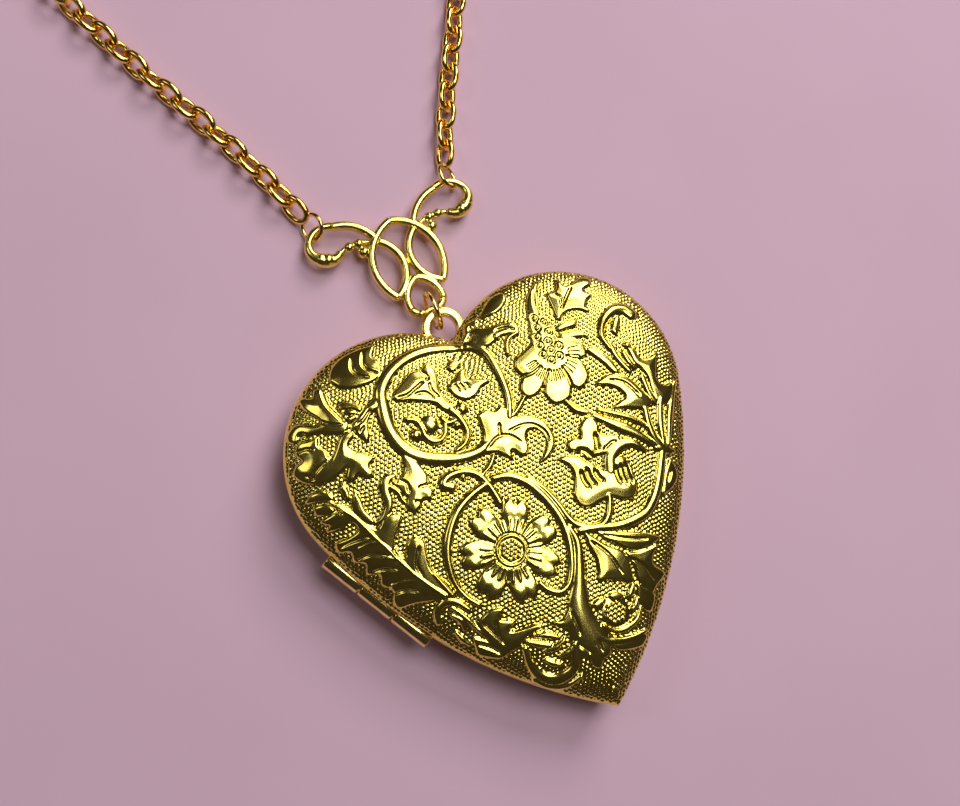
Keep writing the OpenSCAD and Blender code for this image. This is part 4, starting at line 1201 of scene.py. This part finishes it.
add_piece("clasp_jump_ring", *at_clasp(wire_ring(3.2, 0.42, (0, 70, 0), (0, -1.55, 0.02))), RING_GOLD,
          "strand_right", "ring_gold", ["clasp_ring"])
hook_path = np.vstack([on_circle(0, HOOK_Y, 2.05, 38, 232, 44), [(-0.75, 3.0), (-0.5, 2.2), (-0.2, 1.4)]])
hook_size = np.interp(np.linspace(0, 1, len(hook_path)), (0, 0.5, 0.85, 1), (0.8, 1.05, 1.1, 0.75))
body_parts = [sweep(flat(hook_path, 0), section(18, 1.0, 1.95, 2.6), hook_size),
              sweep(flat(on_circle(0, 0, 1.0, 0, 350, 36), 0), section(12, 0.48, 0.56, 2.4), closed=True),
              *(sweep(flat(CHEEK, z), section(12, 0.7, 0.6, 3)) for z in (CHEEK_Z, -CHEEK_Z)),
              sweep(flat([(-0.5, 2.2), (0, 1.6), (0.2, 0.95)], 0), section(12, 1.2, 1.7, 3))]
cast("clasp_hook_body", [at_clasp(part) for part in body_parts], CLASP_GOLD, "clasp",
     "clasp_body", 0.07, 5)
lever_line = np.vstack([[LEVER_PIVOT + (-0.05, -0.1)], [LEVER_PIVOT + (0.15, 0.6)],
                        [LEVER_PIVOT + (0.35, 1.6)], [LEVER_PIVOT + (0.3, 2.6)], [LEVER_PIVOT + (0.1, 3.4)]])
tab_line = np.vstack([[LEVER_PIVOT + (0, 0)], [LEVER_PIVOT + (0.7, -0.15)], [LEVER_PIVOT + (1.6, -0.35)]])
lever_parts = [sweep(flat(smooth_line(lever_line), 0), section(16, 0.6, 0.72, 2.8)),
               sweep(flat(smooth_line(tab_line), 0), section(16, 0.6, 0.72, 2.8))]
cast("clasp_thumb_lever", [at_clasp(part) for part in lever_parts], CLASP_GOLD, "clasp_lever",
     "clasp_lever", 0.06, 3)
rivet_verts, rivet_faces = rod(0.3, CLASP_T, 0.08)
add_piece("clasp_rivet", *at_clasp((rivet_verts[:, [0, 2, 1]] * (1, 1, -1) + (*LEVER_PIVOT, 0), rivet_faces)),
          CLASP_GOLD, "clasp", "clasp_gold", ["clasp_pin"])
coil_a = np.linspace(0, 5 * 2 * math.pi, 80)
coil_path = np.stack([-0.1 + 0.8 * np.linspace(0, 1, 80), 2.3 + 0.22 * np.cos(coil_a),
                      0.22 * np.sin(coil_a)], 1)
add_piece("clasp_coil_spring", *at_clasp(sweep(coil_path, section(8, 0.12, 0.12), up=(0.2, 0.3, 1))),
          SPRING_STEEL, "clasp", "spring_steel", ["clasp_spring"])

# ---------------------------------------------------------------- floor and light

FLOOR_HALF = 1.2
paper, tree, shader = shader_tree("floor_paper")
tint = ramp(tree, noise(tree, 40), [(0.3, (0.74, 0.495, 0.655)), (0.7, (0.77, 0.52, 0.685))])
tree.links.new(tint, shader.inputs["Base Color"])
shader.inputs["Roughness"].default_value = 0.85
floor_corners = np.array([(-1, -1, 0), (1, -1, 0), (1, 1, 0), (-1, 1, 0)]) * FLOOR_HALF / MM
floor = add_piece("floor", floor_corners - (0, TIP_Y, 0), [(0, 1, 2, 3)], paper, smooth=False)


def area_light(name, place, target, size, power, colour=(1, 1, 1)):
    data = bpy.data.lights.new(name, "AREA")
    data.shape = "RECTANGLE"
    data.size, data.size_y = size
    data.energy = power
    data.color = colour
    lamp = bpy.data.objects.new(name, data)
    lamp.location = place
    lamp.rotation_euler = (Vector(target) - Vector(place)).to_track_quat("-Z", "Y").to_euler()
    bpy.context.scene.collection.objects.link(lamp)


area_light("key", (0.13, 0.05, 0.42), (0.004, 0.004, 0), (0.24, 0.2), 0.8, (1.0, 0.99, 0.93))
area_light("side", (0.36, 0.30, 0.38), (0, 0, 0), (0.3, 0.26), 1.55, (1.0, 0.95, 0.9))
area_light("fill", (-0.34, 0.34, 0.5), (0, 0, 0), (0.22, 0.22), 0.28, (1.0, 0.97, 0.92))

bpy.context.scene.view_settings.view_transform = "Standard"
world = bpy.data.worlds.new("studio")
bpy.context.scene.world = world
world.use_nodes = True
world.node_tree.nodes["Background"].inputs["Color"].default_value = (0.32, 0.26, 0.24, 1)
world.node_tree.nodes["Background"].inputs["Strength"].default_value = 0.11
